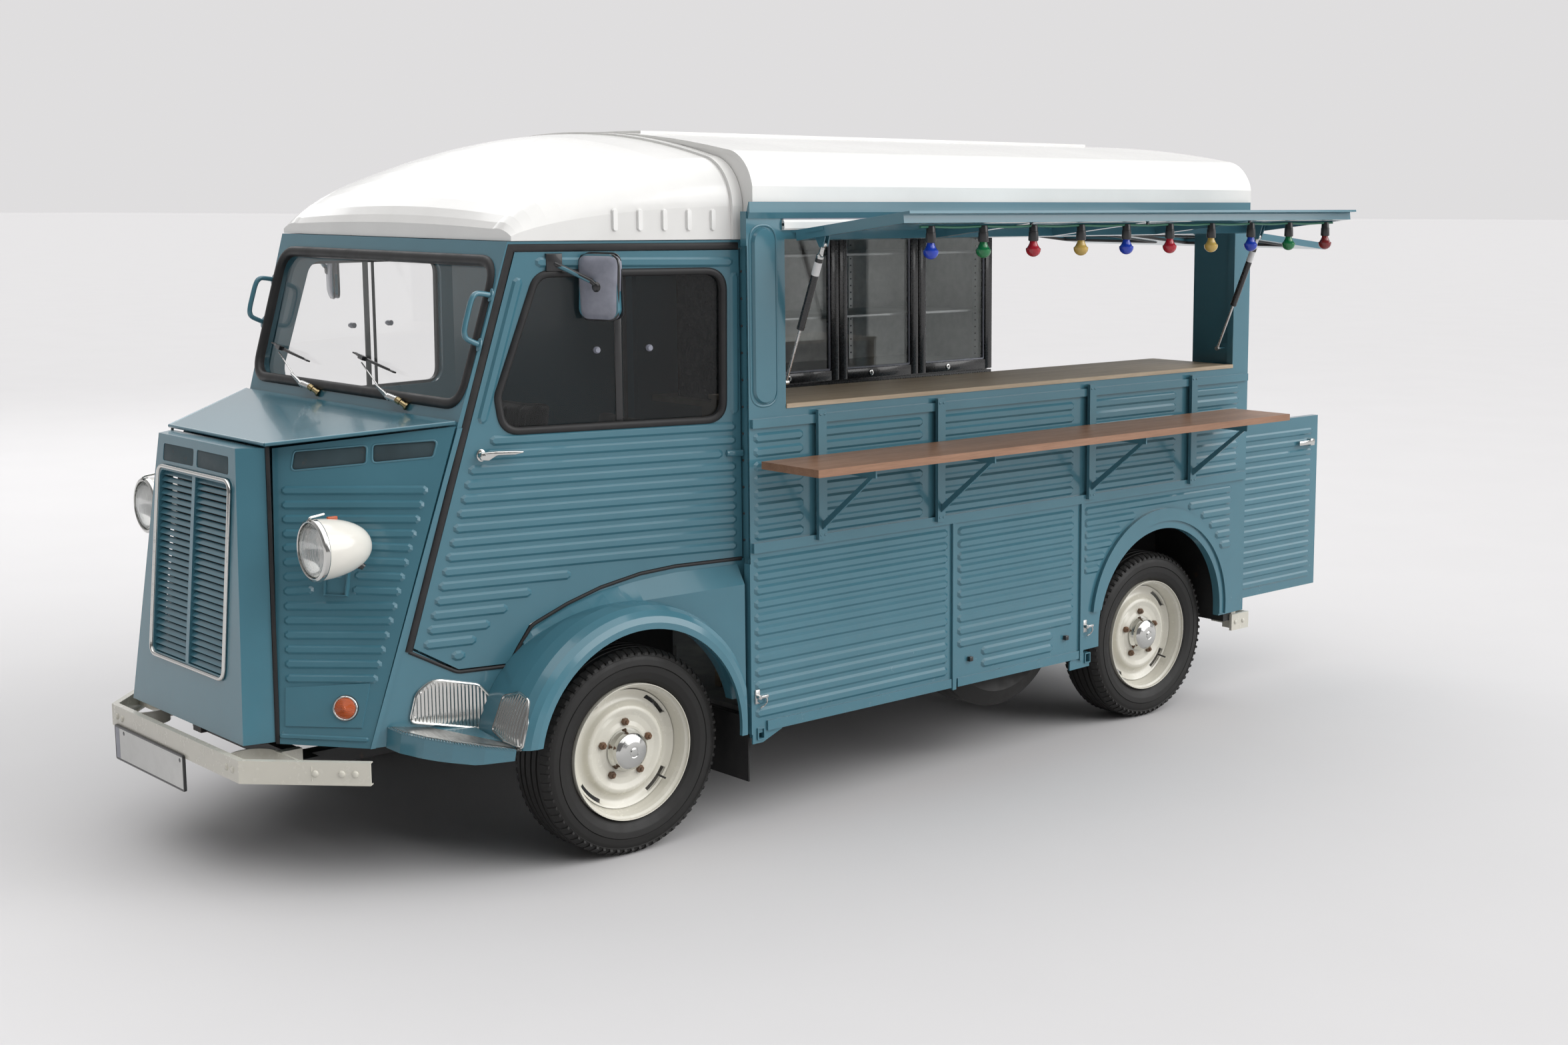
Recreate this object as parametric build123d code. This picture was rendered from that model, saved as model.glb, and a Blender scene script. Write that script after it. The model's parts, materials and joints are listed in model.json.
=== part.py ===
from build123d import *
import math
import os

os.makedirs("parts", exist_ok=True)

# Millimetres. X to the van's left, Y to the rear, Z up. The front axle is at Y = 0, the ground at Z = 0.
wheelbase = 2500
axle_z = 335
tyre_radius = 335
tyre_width = 186
rim_radius = 221
track_half = 812
kingpin_x = 728

body_half = 978
body_front = 410
body_rear = 3007
wall = 30
floor_z = 396
sill_bottom = 330
gutter_z = 2070
roof_top = 2305

opening_y = (566, 2905)
opening_z = (1400, 1950)

cab_corner_y = -311
cab_corner_x = 740
cab_corner_z = 1948
cab_rear_y = 451
cab_taper = 0.2362
cab_slope = 0.3
cab_wall = 34

arch_y = -8
arch_z = 365
arch_lip = 380
arch_outer = 425
arch_crown = 455
fender_crown_x = 880
crease_start = (60, 815)
rear_arch_y = 2470
rear_arch_z = 415
rear_arch_inner = 370
rear_arch_outer = 415

rear_opening_half = 750
leaf_hinge = (752, 3015)
leaf_hinges = (500, 1000)
leaf_z = (368, 1130)
leaf_width = 738
leaf_thick = 32
tailgate_length = 824
tailgate_hinge = (3028, 1962)
tailgate_hinges = (-500, 0, 500)
tailgate_drop = 6

rib_pitch = 45.6
rib_base = 36
rib_rise = 7
rib_top_z = 900

hatch_hinge = (996, 1972)
hatch_reach = 576
hatch_rise = 7
hatch_depth = 30
hatch_ribs = (1160, 1740, 2310)
hatch_hinges = (640, 1180, 1735, 2290, 2830)
strut_foot = (930, 1480)
strut_head = (1125, 1936)
strut_inset = 40


# ---------------------------------------------------------------- helpers
def block(x, y, z):
    centre = Pos((x[0] + x[1]) / 2, (y[0] + y[1]) / 2, (z[0] + z[1]) / 2)
    return centre * Box(x[1] - x[0], y[1] - y[0], z[1] - z[0])


def mirrored(shape):
    return mirror(shape, about=Plane.YZ)


def both(shape):
    return [shape, mirrored(shape)]


# closed outline, turned so that it faces its plane's normal whichever way round its points run
def outline(points):
    turns = sum(a[0] * b[1] - b[0] * a[1] for a, b in zip(points, points[1:] + points[:1]))
    return Polygon(*(points if turns > 0 else points[::-1]), align=None)


def yz_prism(points, x):
    face = Plane.YZ.offset(x[0]) * outline(points)
    return extrude(face, amount=x[1] - x[0])


def xz_prism(points, y):
    plane = Plane((0, y[1], 0), x_dir=(1, 0, 0), z_dir=(0, -1, 0))
    return extrude(plane * outline(points), amount=y[1] - y[0])


def xy_prism(points, z):
    face = Plane.XY.offset(z[0]) * outline(points)
    return extrude(face, amount=z[1] - z[0])


def x_rod(radius, x, y, z):
    plane = Plane((x[0], y, z), x_dir=(0, 1, 0), z_dir=(1, 0, 0))
    return extrude(plane * Circle(radius), amount=x[1] - x[0])


def y_rod(radius, x, y, z):
    plane = Plane((x, y[0], z), x_dir=(1, 0, 0), z_dir=(0, 1, 0))
    return extrude(plane * Circle(radius), amount=y[1] - y[0])


def bar(start, end, radius):
    direction = Vector(*end) - Vector(*start)
    plane = Plane(Vector(*start), z_dir=direction)
    return extrude(plane * Circle(radius), amount=direction.length)


# flat sheet on a plane, outlined by points given in the van's own axes and thickened inwards
def sheet_on(plane, points, depth, corner=0):
    flat = [plane.to_local_coords(Vector(*point)) for point in points]
    face = outline([(point.X, point.Y) for point in flat])
    if corner:
        face = fillet(face.vertices(), corner)
    return extrude(plane * face, amount=-depth)


# plane through three points whose normal points outwards
def plane_through(origin, along, other):
    x_dir = Vector(*along) - Vector(*origin)
    normal = x_dir.cross(Vector(*other) - Vector(*origin))
    return Plane(Vector(*origin), x_dir=x_dir, z_dir=normal)


# shallow pressed rib with rounded ends, raised from a plane; start and end in plane coordinates
def rib(plane, start, end, height, rise):
    length = math.dist(start, end)
    half = height / 2
    edge = [(0, half * 0.45), (half * 0.8, half), (length - half * 0.8, half), (length, half * 0.45)]
    points = edge + [(x, -y) for x, y in reversed(edge)]
    angle = math.degrees(math.atan2(end[1] - start[1], end[0] - start[0]))
    foot = plane.offset(-1) * (Pos(start[0], start[1]) * (Rot(0, 0, angle) * outline(points)))
    return extrude(foot, amount=rise + 1, taper=math.degrees(math.atan(0.26 * height / (rise + 1))))


# ribs along Y on a plane that faces +X, each given as start, end and height above the ground
def side_ribs(x, spans):
    plane = Plane((x, 0, 0), x_dir=(0, 1, 0), z_dir=(1, 0, 0))
    return [rib(plane, (start, z), (end, z), rib_base, rib_rise) for start, end, z in spans]


def rib_z(index):
    return rib_top_z - rib_pitch * index


def cab_x(y):
    return cab_corner_x + (y - cab_corner_y) * cab_taper


def cab_front_y(z):
    return cab_corner_y - (cab_corner_z - z) * cab_slope


def side_point(y, z):
    return (cab_x(y), y, z)


def front_point(x, z):
    return (x, cab_front_y(z), z)


side_plane = plane_through(side_point(0, 0), side_point(100, 0), side_point(0, 100))
front_plane = plane_through(front_point(0, 0), front_point(100, 0), front_point(0, 100))

parts = {}


def keep(name, *shapes):
    solids = []
    for shape in shapes:
        if isinstance(shape, list):
            solids.extend(shape)
        else:
            solids.append(shape)
    parts[name] = Compound([solid for shape in solids for solid in shape.solids()])


# ---------------------------------------------------------------- running gear
def tyre(x, y):
    half = tyre_width / 2
    bead = rim_radius + 1
    profile = make_face(Polyline(
        (-half * 0.74, bead), (-half, bead + 54), (-half * 0.74, tyre_radius), (half * 0.74, tyre_radius),
        (half, bead + 54), (half * 0.74, bead), close=True))
    return Pos(x, y, axle_z) * revolve(profile, Axis.X)


def wheel(x, y, outward):
    half = tyre_width / 2 * 0.74
    rim = make_face(Polyline(
        (-half - 6, rim_radius), (half + 16, rim_radius), (half + 14, rim_radius - 12), (36, 186), (16, 150),
        (42, 138), (36, 76), (60, 70), (88, 22), (88, 0), (60, 0), (60, 20.05), (-36, 20.05), (-36, 60), (-16, 64),
        (-16, 142), (12, 192), (-half - 6, rim_radius - 14), close=True))
    body = revolve(rim, Axis.X)
    slot = extrude(Plane.YZ * (Pos(0, 166) * SlotOverall(74, 13)), amount=80, both=True)
    body -= [Rot(90 * index, 0, 0) * slot for index in range(4)]
    nut = extrude(Plane.YZ.offset(34) * (Pos(0, 108) * RegularPolygon(11, 6)), amount=24)
    body += [Rot(72 * index, 0, 0) * nut for index in range(5)]
    turn = Rot(0, 0, 0) if outward > 0 else Rot(0, 0, 180)
    return Pos(x, y, axle_z) * (turn * body)


def spare_wheel():
    x, y, lift = track_half - 2, 1652, 195
    disc = make_face(Polyline((-60, rim_radius), (60, rim_radius), (20, 160), (24, 40), (10, 40), (6, 160),
                              (-60, 190), close=True))
    return [Pos(0, 0, lift) * tyre(x, y), Pos(x, y, axle_z + lift) * revolve(disc, Axis.X)]


pin_radius = 12
arm_rise = 90
arm_half = 12


def spindle(x_inner, x_outer, y):
    return x_rod(20, (x_inner, x_outer), y, axle_z)


def knuckle():
    pin = Pos(kingpin_x, 0, axle_z) * Cylinder(pin_radius, 2 * arm_rise + 36)
    upright = Pos(kingpin_x, 0, axle_z) * Cylinder(22, 2 * arm_rise - 2 * arm_half - 8)
    neck = x_rod(30, (kingpin_x, kingpin_x + 36), 0, axle_z)
    plate = x_rod(118, (kingpin_x + 34, kingpin_x + 42), 0, axle_z)
    stub = spindle(kingpin_x + 34, track_half + 58, 0)
    arm = bar((kingpin_x, 0, axle_z - 40), (kingpin_x - 36, 120, axle_z - 40), 10)
    ball = Pos(kingpin_x - 36, 120, axle_z - 40) * Cylinder(16, 26)
    return upright + [pin, neck, plate, stub, arm, ball]


def wishbone(z):
    inner_x = 331
    tip = kingpin_x - 20
    points = [(inner_x, -150), (inner_x, -110), (tip - 70, -10), (tip - 70, 10), (inner_x, 110), (inner_x, 150),
              (inner_x + 40, 150), (tip, 20), (tip, -20), (inner_x + 40, -150)]
    eye = Pos(kingpin_x, 0, z) * Cylinder(28, 2 * arm_half)
    hole = Pos(kingpin_x, 0, z) * Cylinder(pin_radius + 0.05, 60)
    return xy_prism(points, (z - arm_half, z + arm_half)) + eye - hole


def suspension():
    front = [wishbone(axle_z - arm_rise), wishbone(axle_z + arm_rise)]
    shaft = x_rod(16, (351, kingpin_x - 90), 0, axle_z) + x_rod(30, (kingpin_x - 92, kingpin_x - 42), 0, axle_z)
    trailing = yz_prism([(wheelbase - 560, 318), (wheelbase - 560, 262), (wheelbase - 60, axle_z - 50),
                         (wheelbase + 50, axle_z - 50), (wheelbase + 50, axle_z + 50), (wheelbase - 60, axle_z + 50)],
                        (640, 690))
    drum = x_rod(120, (690, 720), wheelbase, axle_z)
    hub = x_rod(34, (700, track_half - 64), wheelbase, axle_z)
    stub = spindle(690, track_half + 58, wheelbase)
    tube = x_rod(28, (0, 690), wheelbase - 530, 290)
    tube += block((350, 390), (wheelbase - 550, wheelbase - 510), (296, 329.5))
    rear = trailing + drum + hub + stub + tube
    rear = rear + mirrored(rear)
    return front + [mirrored(arm) for arm in front] + both(shaft) + [rear]


def engine():
    gearbox = block((-190, 190), (-900, -700), (390, 760))
    crankcase = block((-230, 230), (-700, -490), (380, 1020))
    return gearbox + crankcase


def floor_frame():
    floor = block((-948, 948), (cab_rear_y + 2, body_rear - 33), (floor_z - 16, floor_z))
    tub = block((606, 990), (2062, 2880), (floor_z - 20, floor_z + 1))
    well = block((690, 990), (1302, 2002), (floor_z - 20, floor_z + 1))
    floor = floor - tub - mirrored(tub) - well
    cab_floor = block((-505, 505), (-465, cab_rear_y), (530, 546))
    kick = block((-505, 505), (cab_rear_y - 16, cab_rear_y + 4), (floor_z - 16, 546))
    return floor + cab_floor + kick


def chassis_frame():
    under = floor_z - 16
    rail = block((340, 400), (190, body_rear - 40), (under - 50, under))
    rail += block((290, 350), (-880, 200), (under - 50, under))
    rail += block((290, 330), (-190, 190), (axle_z - 110, axle_z + 110))
    rail += block((340, 400), (-460, -420), (under - 20, 530))
    frame = rail + mirrored(rail)
    for y in (-860, 480, 1240, 2020, 2920):
        frame += block((-400, 400), (y, y + 50), (under - 50, under))
    for y in (480, 1240, 2920):
        outer = block((400, 946), (y, y + 50), (under - 44, under))
        frame += outer + mirrored(outer)
    return frame


def wheel_housings():
    front = block((505, 519), (-420, 430), (470, 770))
    front += xy_prism([(505, -420), (cab_x(-420) - 44, -420), (cab_x(430) - 44, 430), (505, 430)], (756, 770))
    rear = block((606, 947), (2062, 2880), (floor_z - 16, 872)) - block((616, 960), (2078, 2864), (300, 862))
    spare = block((690, 947), (1302, 2002), (floor_z - 16, 912)) - block((698, 960), (1310, 1994), (300, 904))
    return both(front) + both(rear) + [spare]


# ---------------------------------------------------------------- nose and cab
nose_top_z = 1333
nose_low_z = 458
hood_corner = (334, -907, 1342)
hood_rear = (704, -485, 1406)
seam_bottom = (428, -958, 453)
ridge_bottom = side_point(cab_front_y(441), 441)
quarter_plane = plane_through(ridge_bottom, hood_rear, seam_bottom)


quarter_vents = [[(362, 1262), (525, 1285), (520, 1341), (362, 1321)], [(537, 1287), (668, 1306), (672, 1358), (531, 1343)]]


def quarter_point(x, z):
    normal = quarter_plane.z_dir
    origin = quarter_plane.origin
    y = origin.Y - (normal.X * (x - origin.X) + normal.Z * (z - origin.Z)) / normal.Y
    return Vector(x, y, z)


def nose_section(z, front_half, front_y, seam_half, seam_y, inset):
    return Plane.XY.offset(z) * Polygon(
        (-seam_half + inset, seam_y + 1), (-front_half + inset, front_y + inset), (front_half - inset, front_y + inset),
        (seam_half - inset, seam_y + 1), align=None)


def nose_solid(inset):
    low = nose_section(nose_low_z - inset, 402, -1049, 424, -960, inset)
    high = nose_section(nose_top_z - inset, 274, -974, 328, -908, inset)
    return loft([low, high], ruled=True)


lamp_rows = (4, 5, 6, 7)
lamp_gap = (456, 538)
panel_rise = 4
grille_z = (628, 1236)
front_face_slope = 0.085


def nose_front_y(z):
    return -983 + front_face_slope * (z - grille_z[1])


grille_plane = plane_through((0, nose_front_y(0), 0), (100, nose_front_y(0), 0), (0, nose_front_y(100), 100))


def grille_outline(inset, depth):
    low, high = grille_z
    points = [(-268 + inset, nose_front_y(low), low + inset), (268 - inset, nose_front_y(low), low + inset),
              (260 - inset, nose_front_y(high), high - inset), (-260 + inset, nose_front_y(high), high - inset)]
    return sheet_on(grille_plane, points, depth, 40 - inset)


def nose_cowl():
    shell = nose_solid(0) - nose_solid(22)
    window = grille_outline(5, 60)
    window = window + Pos(0, -20, 0) * window
    shell -= window
    for side in (-1, 1):
        points = [(side * 12, 0, 1252), (side * 236, 0, 1250), (side * 232, 0, 1304), (side * 12, 0, 1305)]
        points = [(x, nose_front_y(z), z) for x, _, z in points]
        shell -= sheet_on(grille_plane, points, 4, 8)
    return shell


def grille():
    frame = Pos(0, -3, 0) * (grille_outline(0, 2.5) - Pos(0, -2, 0) * grille_outline(12, 30))
    frame = frame + (Pos(0, -3, 0) * grille_outline(7, 20) - Pos(0, -10, 0) * grille_outline(14, 60))
    rows = 28
    pitch = (1222 - 640) / rows
    blades = []
    clear = Pos(0, -10, 0) * grille_outline(10, 60)
    for index in range(rows):
        z = 640 + pitch * (index + 0.5)
        y = nose_front_y(z)
        half = 254
        blade = yz_prism([(y + 2, z - 6), (y + 5, z - 6), (y + 16, z + 7), (y + 13, z + 7)], (-half, half))
        blades.append(blade & clear)
    bar_low = nose_front_y(grille_z[0])
    bar_high = nose_front_y(grille_z[1])
    divider = yz_prism([(bar_low - 2, grille_z[0] + 10), (bar_low + 18, grille_z[0] + 10),
                        (bar_high + 18, grille_z[1] - 10), (bar_high - 2, grille_z[1] - 10)], (-11, 11))
    return frame + ([divider] + blades)


# field pressed outwards from the quarter panel, with sloping edges
def quarter_emboss(points, rise):
    flat = [quarter_plane.to_local_coords(quarter_point(x, z)) for x, z in points]
    face = quarter_plane.offset(-1) * outline([(point.X, point.Y) for point in flat])
    return extrude(face, amount=rise + 1, taper=20)


def quarter_panel():
    gap = Vector(0.73, 0.68, 0) * 6
    drop = Vector(0, 0, -8)
    corners = [Vector(*seam_bottom) + gap, Vector(*ridge_bottom), Vector(*hood_rear) + drop,
               Vector(*hood_corner) + gap + drop]
    panel = sheet_on(quarter_plane, [tuple(point) for point in corners], 26)
    seam_low, ridge_low, ridge_high, seam_high = [quarter_plane.to_local_coords(point) for point in corners]
    ribs = []
    for index in range(14):
        z = 1215 - door_rib_pitch * index
        left = seam_low + (seam_high - seam_low) * ((z - seam_bottom[2]) / (hood_corner[2] - seam_bottom[2]))
        right = ridge_low + (ridge_high - ridge_low) * ((z - ridge_bottom[2]) / (hood_rear[2] - ridge_bottom[2]))
        span = right - left
        stops = [left + span * (24 / span.length), left + span * ((span.length - 30) / span.length)]
        if index in lamp_rows:
            gap_points = [quarter_plane.to_local_coords(quarter_point(x, z)) for x in lamp_gap]
            stops = [stops[0], *gap_points, stops[1]]
        for start, end in zip(stops[::2], stops[1::2]):
            ribs.append(rib(quarter_plane, (start.X, start.Y), (end.X, end.Y), 30, rib_rise))
    low_left = quarter_plane.to_local_coords(quarter_point(432, 476))
    low_right = quarter_plane.to_local_coords(quarter_point(628, 467))
    ribs.append(rib(quarter_plane, (low_left.X, low_left.Y), (low_right.X, low_right.Y), 16, 5))
    panel += ribs
    panel += quarter_emboss([(428, 621), (612, 637), (610, 501), (441, 504)], panel_rise)
    plate = [(466, 992), (528, 997), (534, 889), (478, 891)]
    panel += quarter_emboss(plate, 12)
    panel -= sheet_on(quarter_plane.offset(13), [tuple(quarter_point(x, z)) for x, z in
                                                 [(474, 1010), (522, 1010), (527, 896), (484, 898)]], 9)
    for vent in quarter_vents:
        panel -= sheet_on(quarter_plane, [tuple(quarter_point(x, z)) for x, z in vent], 5, 9)
    panel -= block((500, 900), (-480, 0), (400, 1500))
    return panel - side_sheet(6, cab_wall + 8)


def hood():
    corners = [(-hood_corner[0], hood_corner[1], hood_corner[2]), hood_corner, hood_rear,
               (-hood_rear[0], hood_rear[1], hood_rear[2])]
    plane = plane_through(corners[0], corners[1], corners[3])
    if plane.z_dir.Z < 0:
        plane = Plane(plane.origin, x_dir=plane.x_dir, z_dir=-plane.z_dir)
    lift = Vector(0, 0, 8)
    points = [tuple(Vector(*corner) + lift) for corner in corners]
    points = [(points[0][0] - 6, points[0][1] - 4, points[0][2]), (points[1][0] + 6, points[1][1] - 4, points[1][2]),
              points[2], points[3]]
    top_plane = Plane(plane.origin + lift, x_dir=plane.x_dir, z_dir=plane.z_dir)
    lid = sheet_on(top_plane, points, 10)
    rim = [tuple(Vector(*point) - plane.z_dir * 5) for point in points]
    for start, end in ((rim[3], rim[0]), (rim[0], rim[1]), (rim[1], rim[2])):
        lid += bar(start, end, 6)
    return lid


def windscreen_outline(grow):
    return [front_point(-684 - grow, 1462 - grow), front_point(684 + grow, 1462 - grow),
            front_point(700 + grow, 1886 + grow), front_point(-700 - grow, 1886 + grow)]


door_outline = [(-627, 733), (-495, 652), (-345, 652), (-318, 700), (-275, 768), (-157, 826), (-49, 867), (82, 899),
                (200, 912), (428, 917), (428, 1916), (-290, 1916)]
window_outline = [(-338, 1374), (368, 1374), (374, 1848), (-222, 1848), (-352, 1480)]


door_rib_top = 1347
door_rib_pitch = 43.5
door_rib_base = 34


def side_outline(points):
    flat = [side_plane.to_local_coords(Vector(*side_point(y, z))) for y, z in points]
    return outline([(point.X, point.Y) for point in flat])


def door_sheet(grow, depth, shift=0):
    face = side_outline(door_outline)
    if grow:
        face = offset(face, grow, kind=Kind.INTERSECTION)
    return extrude(side_plane.offset(shift) * face, amount=-depth)


def window_sheet(grow, depth, shift=0):
    face = fillet(side_outline(window_outline).vertices(), 60)
    if grow:
        face = offset(face, grow)
    return extrude(side_plane.offset(shift) * face, amount=-depth)


def side_sheet(shift, depth):
    return sheet_on(side_plane.offset(shift), [side_point(cab_front_y(441), 441), side_point(cab_rear_y - 17, 441),
                                               side_point(cab_rear_y - 17, cab_corner_z),
                                               side_point(cab_front_y(cab_corner_z), cab_corner_z)], depth)


def outside_cab():
    return sheet_on(side_plane.offset(400), [side_point(-900, 300), side_point(409, 300), side_point(409, 1000),
                                             side_point(-900, 1000)], 400 - 1)


def cab_shell():
    side = side_sheet(0, cab_wall)
    side -= x_rod(arch_lip + 22, (500, 1000), arch_y, arch_z)
    front = sheet_on(front_plane, [front_point(-cab_x(cab_front_y(1392)), 1392), front_point(cab_x(cab_front_y(1392)), 1392),
                                   front_point(cab_corner_x, cab_corner_z), front_point(-cab_corner_x, cab_corner_z)], 36)
    front -= sheet_on(front_plane.offset(20), windscreen_outline(0), 80, 80)
    firewall = block((-590, 590), (-478, -466), (441, 1396))
    cowl = block((-650, 650), (-478, -462), (1384, 1398))
    rear_wall = block((cab_x(436) - 30, body_half - wall - 1), (436, 452), (400, 1948))
    rear_wall -= x_rod(arch_lip + 22, (500, 1000), arch_y, arch_z)
    opening = door_sheet(7, cab_wall + 80, 30)
    front = front - opening - mirrored(opening)
    side -= opening
    side -= sheet_on(front_plane.offset(20), windscreen_outline(0), 80, 80)
    body = side + mirrored(side) + front + firewall + cowl + rear_wall + mirrored(rear_wall)
    trims = [ridge_strip(), kick_plate()] + grab_handle()
    for trim in trims:
        body += both(trim)
    return body


# standing edge of the cab side along the quarter panel
def ridge_strip():
    edge = [(cab_front_y(441), 441), (cab_front_y(441) + 15, 441), (cab_front_y(1392) + 15, 1392), (cab_front_y(1392), 1392)]
    return sheet_on(side_plane.offset(6), [side_point(y, z) for y, z in edge], 8)


def kick_plate():
    edge = [(-646, 508), (-420, 456), (-398, 545), (-438, 595), (-576, 630), (-624, 592)]
    return sheet_on(side_plane.offset(3), [side_point(y, z) for y, z in edge], 5)


def rod_chain(points, radius):
    links = []
    for start, end in zip(points, points[1:]):
        direction = Vector(*end) - Vector(*start)
        over = direction.normalized() * (radius * 0.35)
        plane = Plane(Vector(*start) - over, z_dir=direction)
        links.append(extrude(plane * RegularPolygon(radius, 8), amount=direction.length + over.length * 2))
    return links


def grab_handle():
    low, high = [front_plane.to_local_coords(Vector(*front_point(718, z))) for z in (1640, 1788)]
    drop = high.Y - low.Y
    way = [(0, -2), (0.05, 48), (0.2, 62), (0.8, 62), (0.95, 48), (1, -2)]
    points = [tuple(front_plane.from_local_coords(Vector(low.X, low.Y + drop * share, out))) for share, out in way]
    return rod_chain(points, 7)


def windscreen():
    glass = sheet_on(front_plane.offset(-14), windscreen_outline(-2), 6, 79)
    return glass


def door_rib(start, end):
    local = [side_plane.to_local_coords(Vector(*side_point(*point))) for point in (start, end)]
    return rib(side_plane, (local[0].X, local[0].Y), (local[1].X, local[1].Y), door_rib_base, rib_rise)


def door_front_y(z):
    (low_y, low_z), (high_y, high_z) = door_outline[0], door_outline[-1]
    return low_y + (z - low_z) * (high_y - low_y) / (high_z - low_z)


def door_ribs():
    ribs = []
    for index in range(16):
        z = door_rib_top - door_rib_pitch * index
        start = door_front_y(z) + (70 if index < 2 else 27)
        end = 412
        if index == 2:
            end = 366
        if index > 9:
            end = arch_y - 12 - math.sqrt(560 ** 2 - (z - arch_z) ** 2)
        if index == 15:
            start = -517
        ribs.append(door_rib((start, z), (end, z)))
    ribs.append(door_rib((-230, 1885), (408, 1878)))
    ribs.append(door_rib((407, 1385), (411, 1846)))
    ribs.append(door_rib((door_front_y(1400) + 32, 1400), (door_front_y(1840) + 32, 1840)))
    return ribs


def door_handle():
    plane = Plane(side_plane.from_local_coords(side_plane.to_local_coords(Vector(*side_point(-409, 1305)))),
                  x_dir=(0.2299, 0.9732, 0), z_dir=side_plane.z_dir)
    rose = extrude(plane.offset(-1) * SlotOverall(34, 24, 90), amount=5)
    stem = extrude(plane * Circle(10), amount=34)
    lever = extrude(plane.offset(26) * outline([(-8, -9), (14, -12), (40, 3), (96, 2), (120, 7), (96, 9), (40, 11), (-8, 9)]),
                    amount=8)
    return rose + stem + lever


def door():
    panel = door_sheet(0, cab_wall - 2)
    panel -= window_sheet(0, 90, 30)
    bulb = bar(side_point(378, 1261), side_point(432, 1259), 11)
    return panel + door_ribs() + [mirror_unit(), door_handle(), bulb]


def door_glass():
    return window_sheet(-1, 6, -14)


def fender():
    profile = make_face(Polyline(
        (body_half - 14, arch_lip), (body_half, arch_lip), (body_half + 1, 400), (body_half - 5, 420), (body_half - 20, 437),
        (930, 449), (fender_crown_x, arch_crown), (820, arch_crown - 1), (760, arch_crown - 5), (690, arch_crown - 10),
        (690, arch_crown - 24), (820, arch_crown - 15), (fender_crown_x, arch_crown - 14), (930, arch_crown - 20),
        (body_half - 18, arch_outer - 4), (body_half - 14, 400), close=True))
    ring = Pos(0, arch_y, arch_z) * revolve(profile, Axis.X)
    ring -= block((600, 1100), (-600, 0), (-200, 437))
    ring -= block((600, 1100), (0, 600), (-200, 334))
    return ring


def door_sill_z(y):
    sill = door_outline[3:10]
    for (start_y, start_z), (end_y, end_z) in zip(sill, sill[1:]):
        if start_y <= y <= end_y:
            return start_z + (end_z - start_z) * (y - start_y) / (end_y - start_y)
    return sill[-1][1]


# where the panel under the door meets the fender, and behind that the crease along the flank
def piping_point(y):
    if y > crease_start[0]:
        share = (y - crease_start[0]) / (434 - crease_start[0])
        return (fender_crown_x + share * (body_half - fender_crown_x), crease_start[1] + share * 22)
    share = (y + 318) / (crease_start[0] + 318)
    x = cab_x(y) + 4 + share * (fender_crown_x - cab_x(y) - 4)
    return (x, arch_z + math.sqrt((arch_crown - 1) ** 2 - (y - arch_y) ** 2))


def wing_section(y, points):
    return Plane((0, y, 0), x_dir=(1, 0, 0), z_dir=(0, -1, 0)) * outline(points)


def wing():
    shelf = []
    for y in (-300, -275, -216, -157, -103, -49, 6, 60, 130, 200, 314, 434):
        x, z = piping_point(y)
        top = door_sill_z(y) - 9
        shelf.append(wing_section(y, [(cab_x(y) - 14, top), (x, z), (x, z - 13), (cab_x(y) - 14, top - 20)]))
    flank = []
    for y in (62, 434):
        x, z = piping_point(y)
        flank.append(wing_section(y, [(x, z), (x, 340), (x - 16, 340), (x - 16, z - 6)]))
    body = loft(shelf[::-1], ruled=True) + loft(flank[::-1], ruled=True)
    body -= x_rod(arch_crown - 14, (500, body_half - 40), arch_y, arch_z)
    body -= x_rod(arch_outer - 6, (500, 1100), arch_y, arch_z)
    return (body + fender()) & outside_cab()


def step():
    plane = plane_through((646, -711, 500), (960, -440, 440), (733, -345, 452))
    if plane.z_dir.Z < 0:
        plane = Plane(plane.origin, x_dir=plane.x_dir, z_dir=-plane.z_dir)
    points = [(646, -711, 500), (712, -700, 493), (779, -662, 484), (846, -605, 471), (908, -535, 456), (958, -448, 440),
              (720, -395, 453)]
    tread = sheet_on(plane, points, 62)
    tread -= sheet_on(plane.offset(-12), [(620, -640, 500), (880, -500, 462), (720, -340, 453), (600, -400, 470)], 70)
    tread -= yz_prism([(-760, 432), (-560, 402), (-380, 414), (-380, 300), (-760, 300)], (500, 1100))
    tread -= x_rod(arch_crown + 1, (500, 1100), arch_y, arch_z)
    return tread & outside_cab()


# ---------------------------------------------------------------- roofs
# closed cross-section of a roof: a flat crown arc, rounded shoulders and near-upright flanks
def roof_face(y, half, eave, top, inset):
    rise = top - eave
    shoulder = (half * 0.86 - inset * 0.8, eave + rise * 0.745 - inset * 0.8)
    middle = (half * 0.965 - inset * 0.95, eave + rise * 0.56 - inset * 0.4)
    flank = (half - inset, eave + rise * 0.3)
    foot = (half - inset, eave)
    crown = ThreePointArc((-shoulder[0], shoulder[1]), (0, top - inset), shoulder)
    right = [ThreePointArc(shoulder, middle, flank), Line(flank, foot)]
    left = [ThreePointArc((-shoulder[0], shoulder[1]), (-middle[0], middle[1]), (-flank[0], flank[1])),
            Line((-flank[0], flank[1]), (-foot[0], eave))]
    base = Line((-foot[0], eave), foot)
    plane = Plane((0, y, 0), x_dir=(1, 0, 0), z_dir=(0, -1, 0))
    return plane * make_face([crown, *right, base, *left])


cab_eave = 1950


def dome_height(y):
    reach = (430 - y) / (430 + 319)
    return (roof_top - 1955) * max(0.02, 1 - reach ** 1.873) ** (1 / 1.578)


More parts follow.
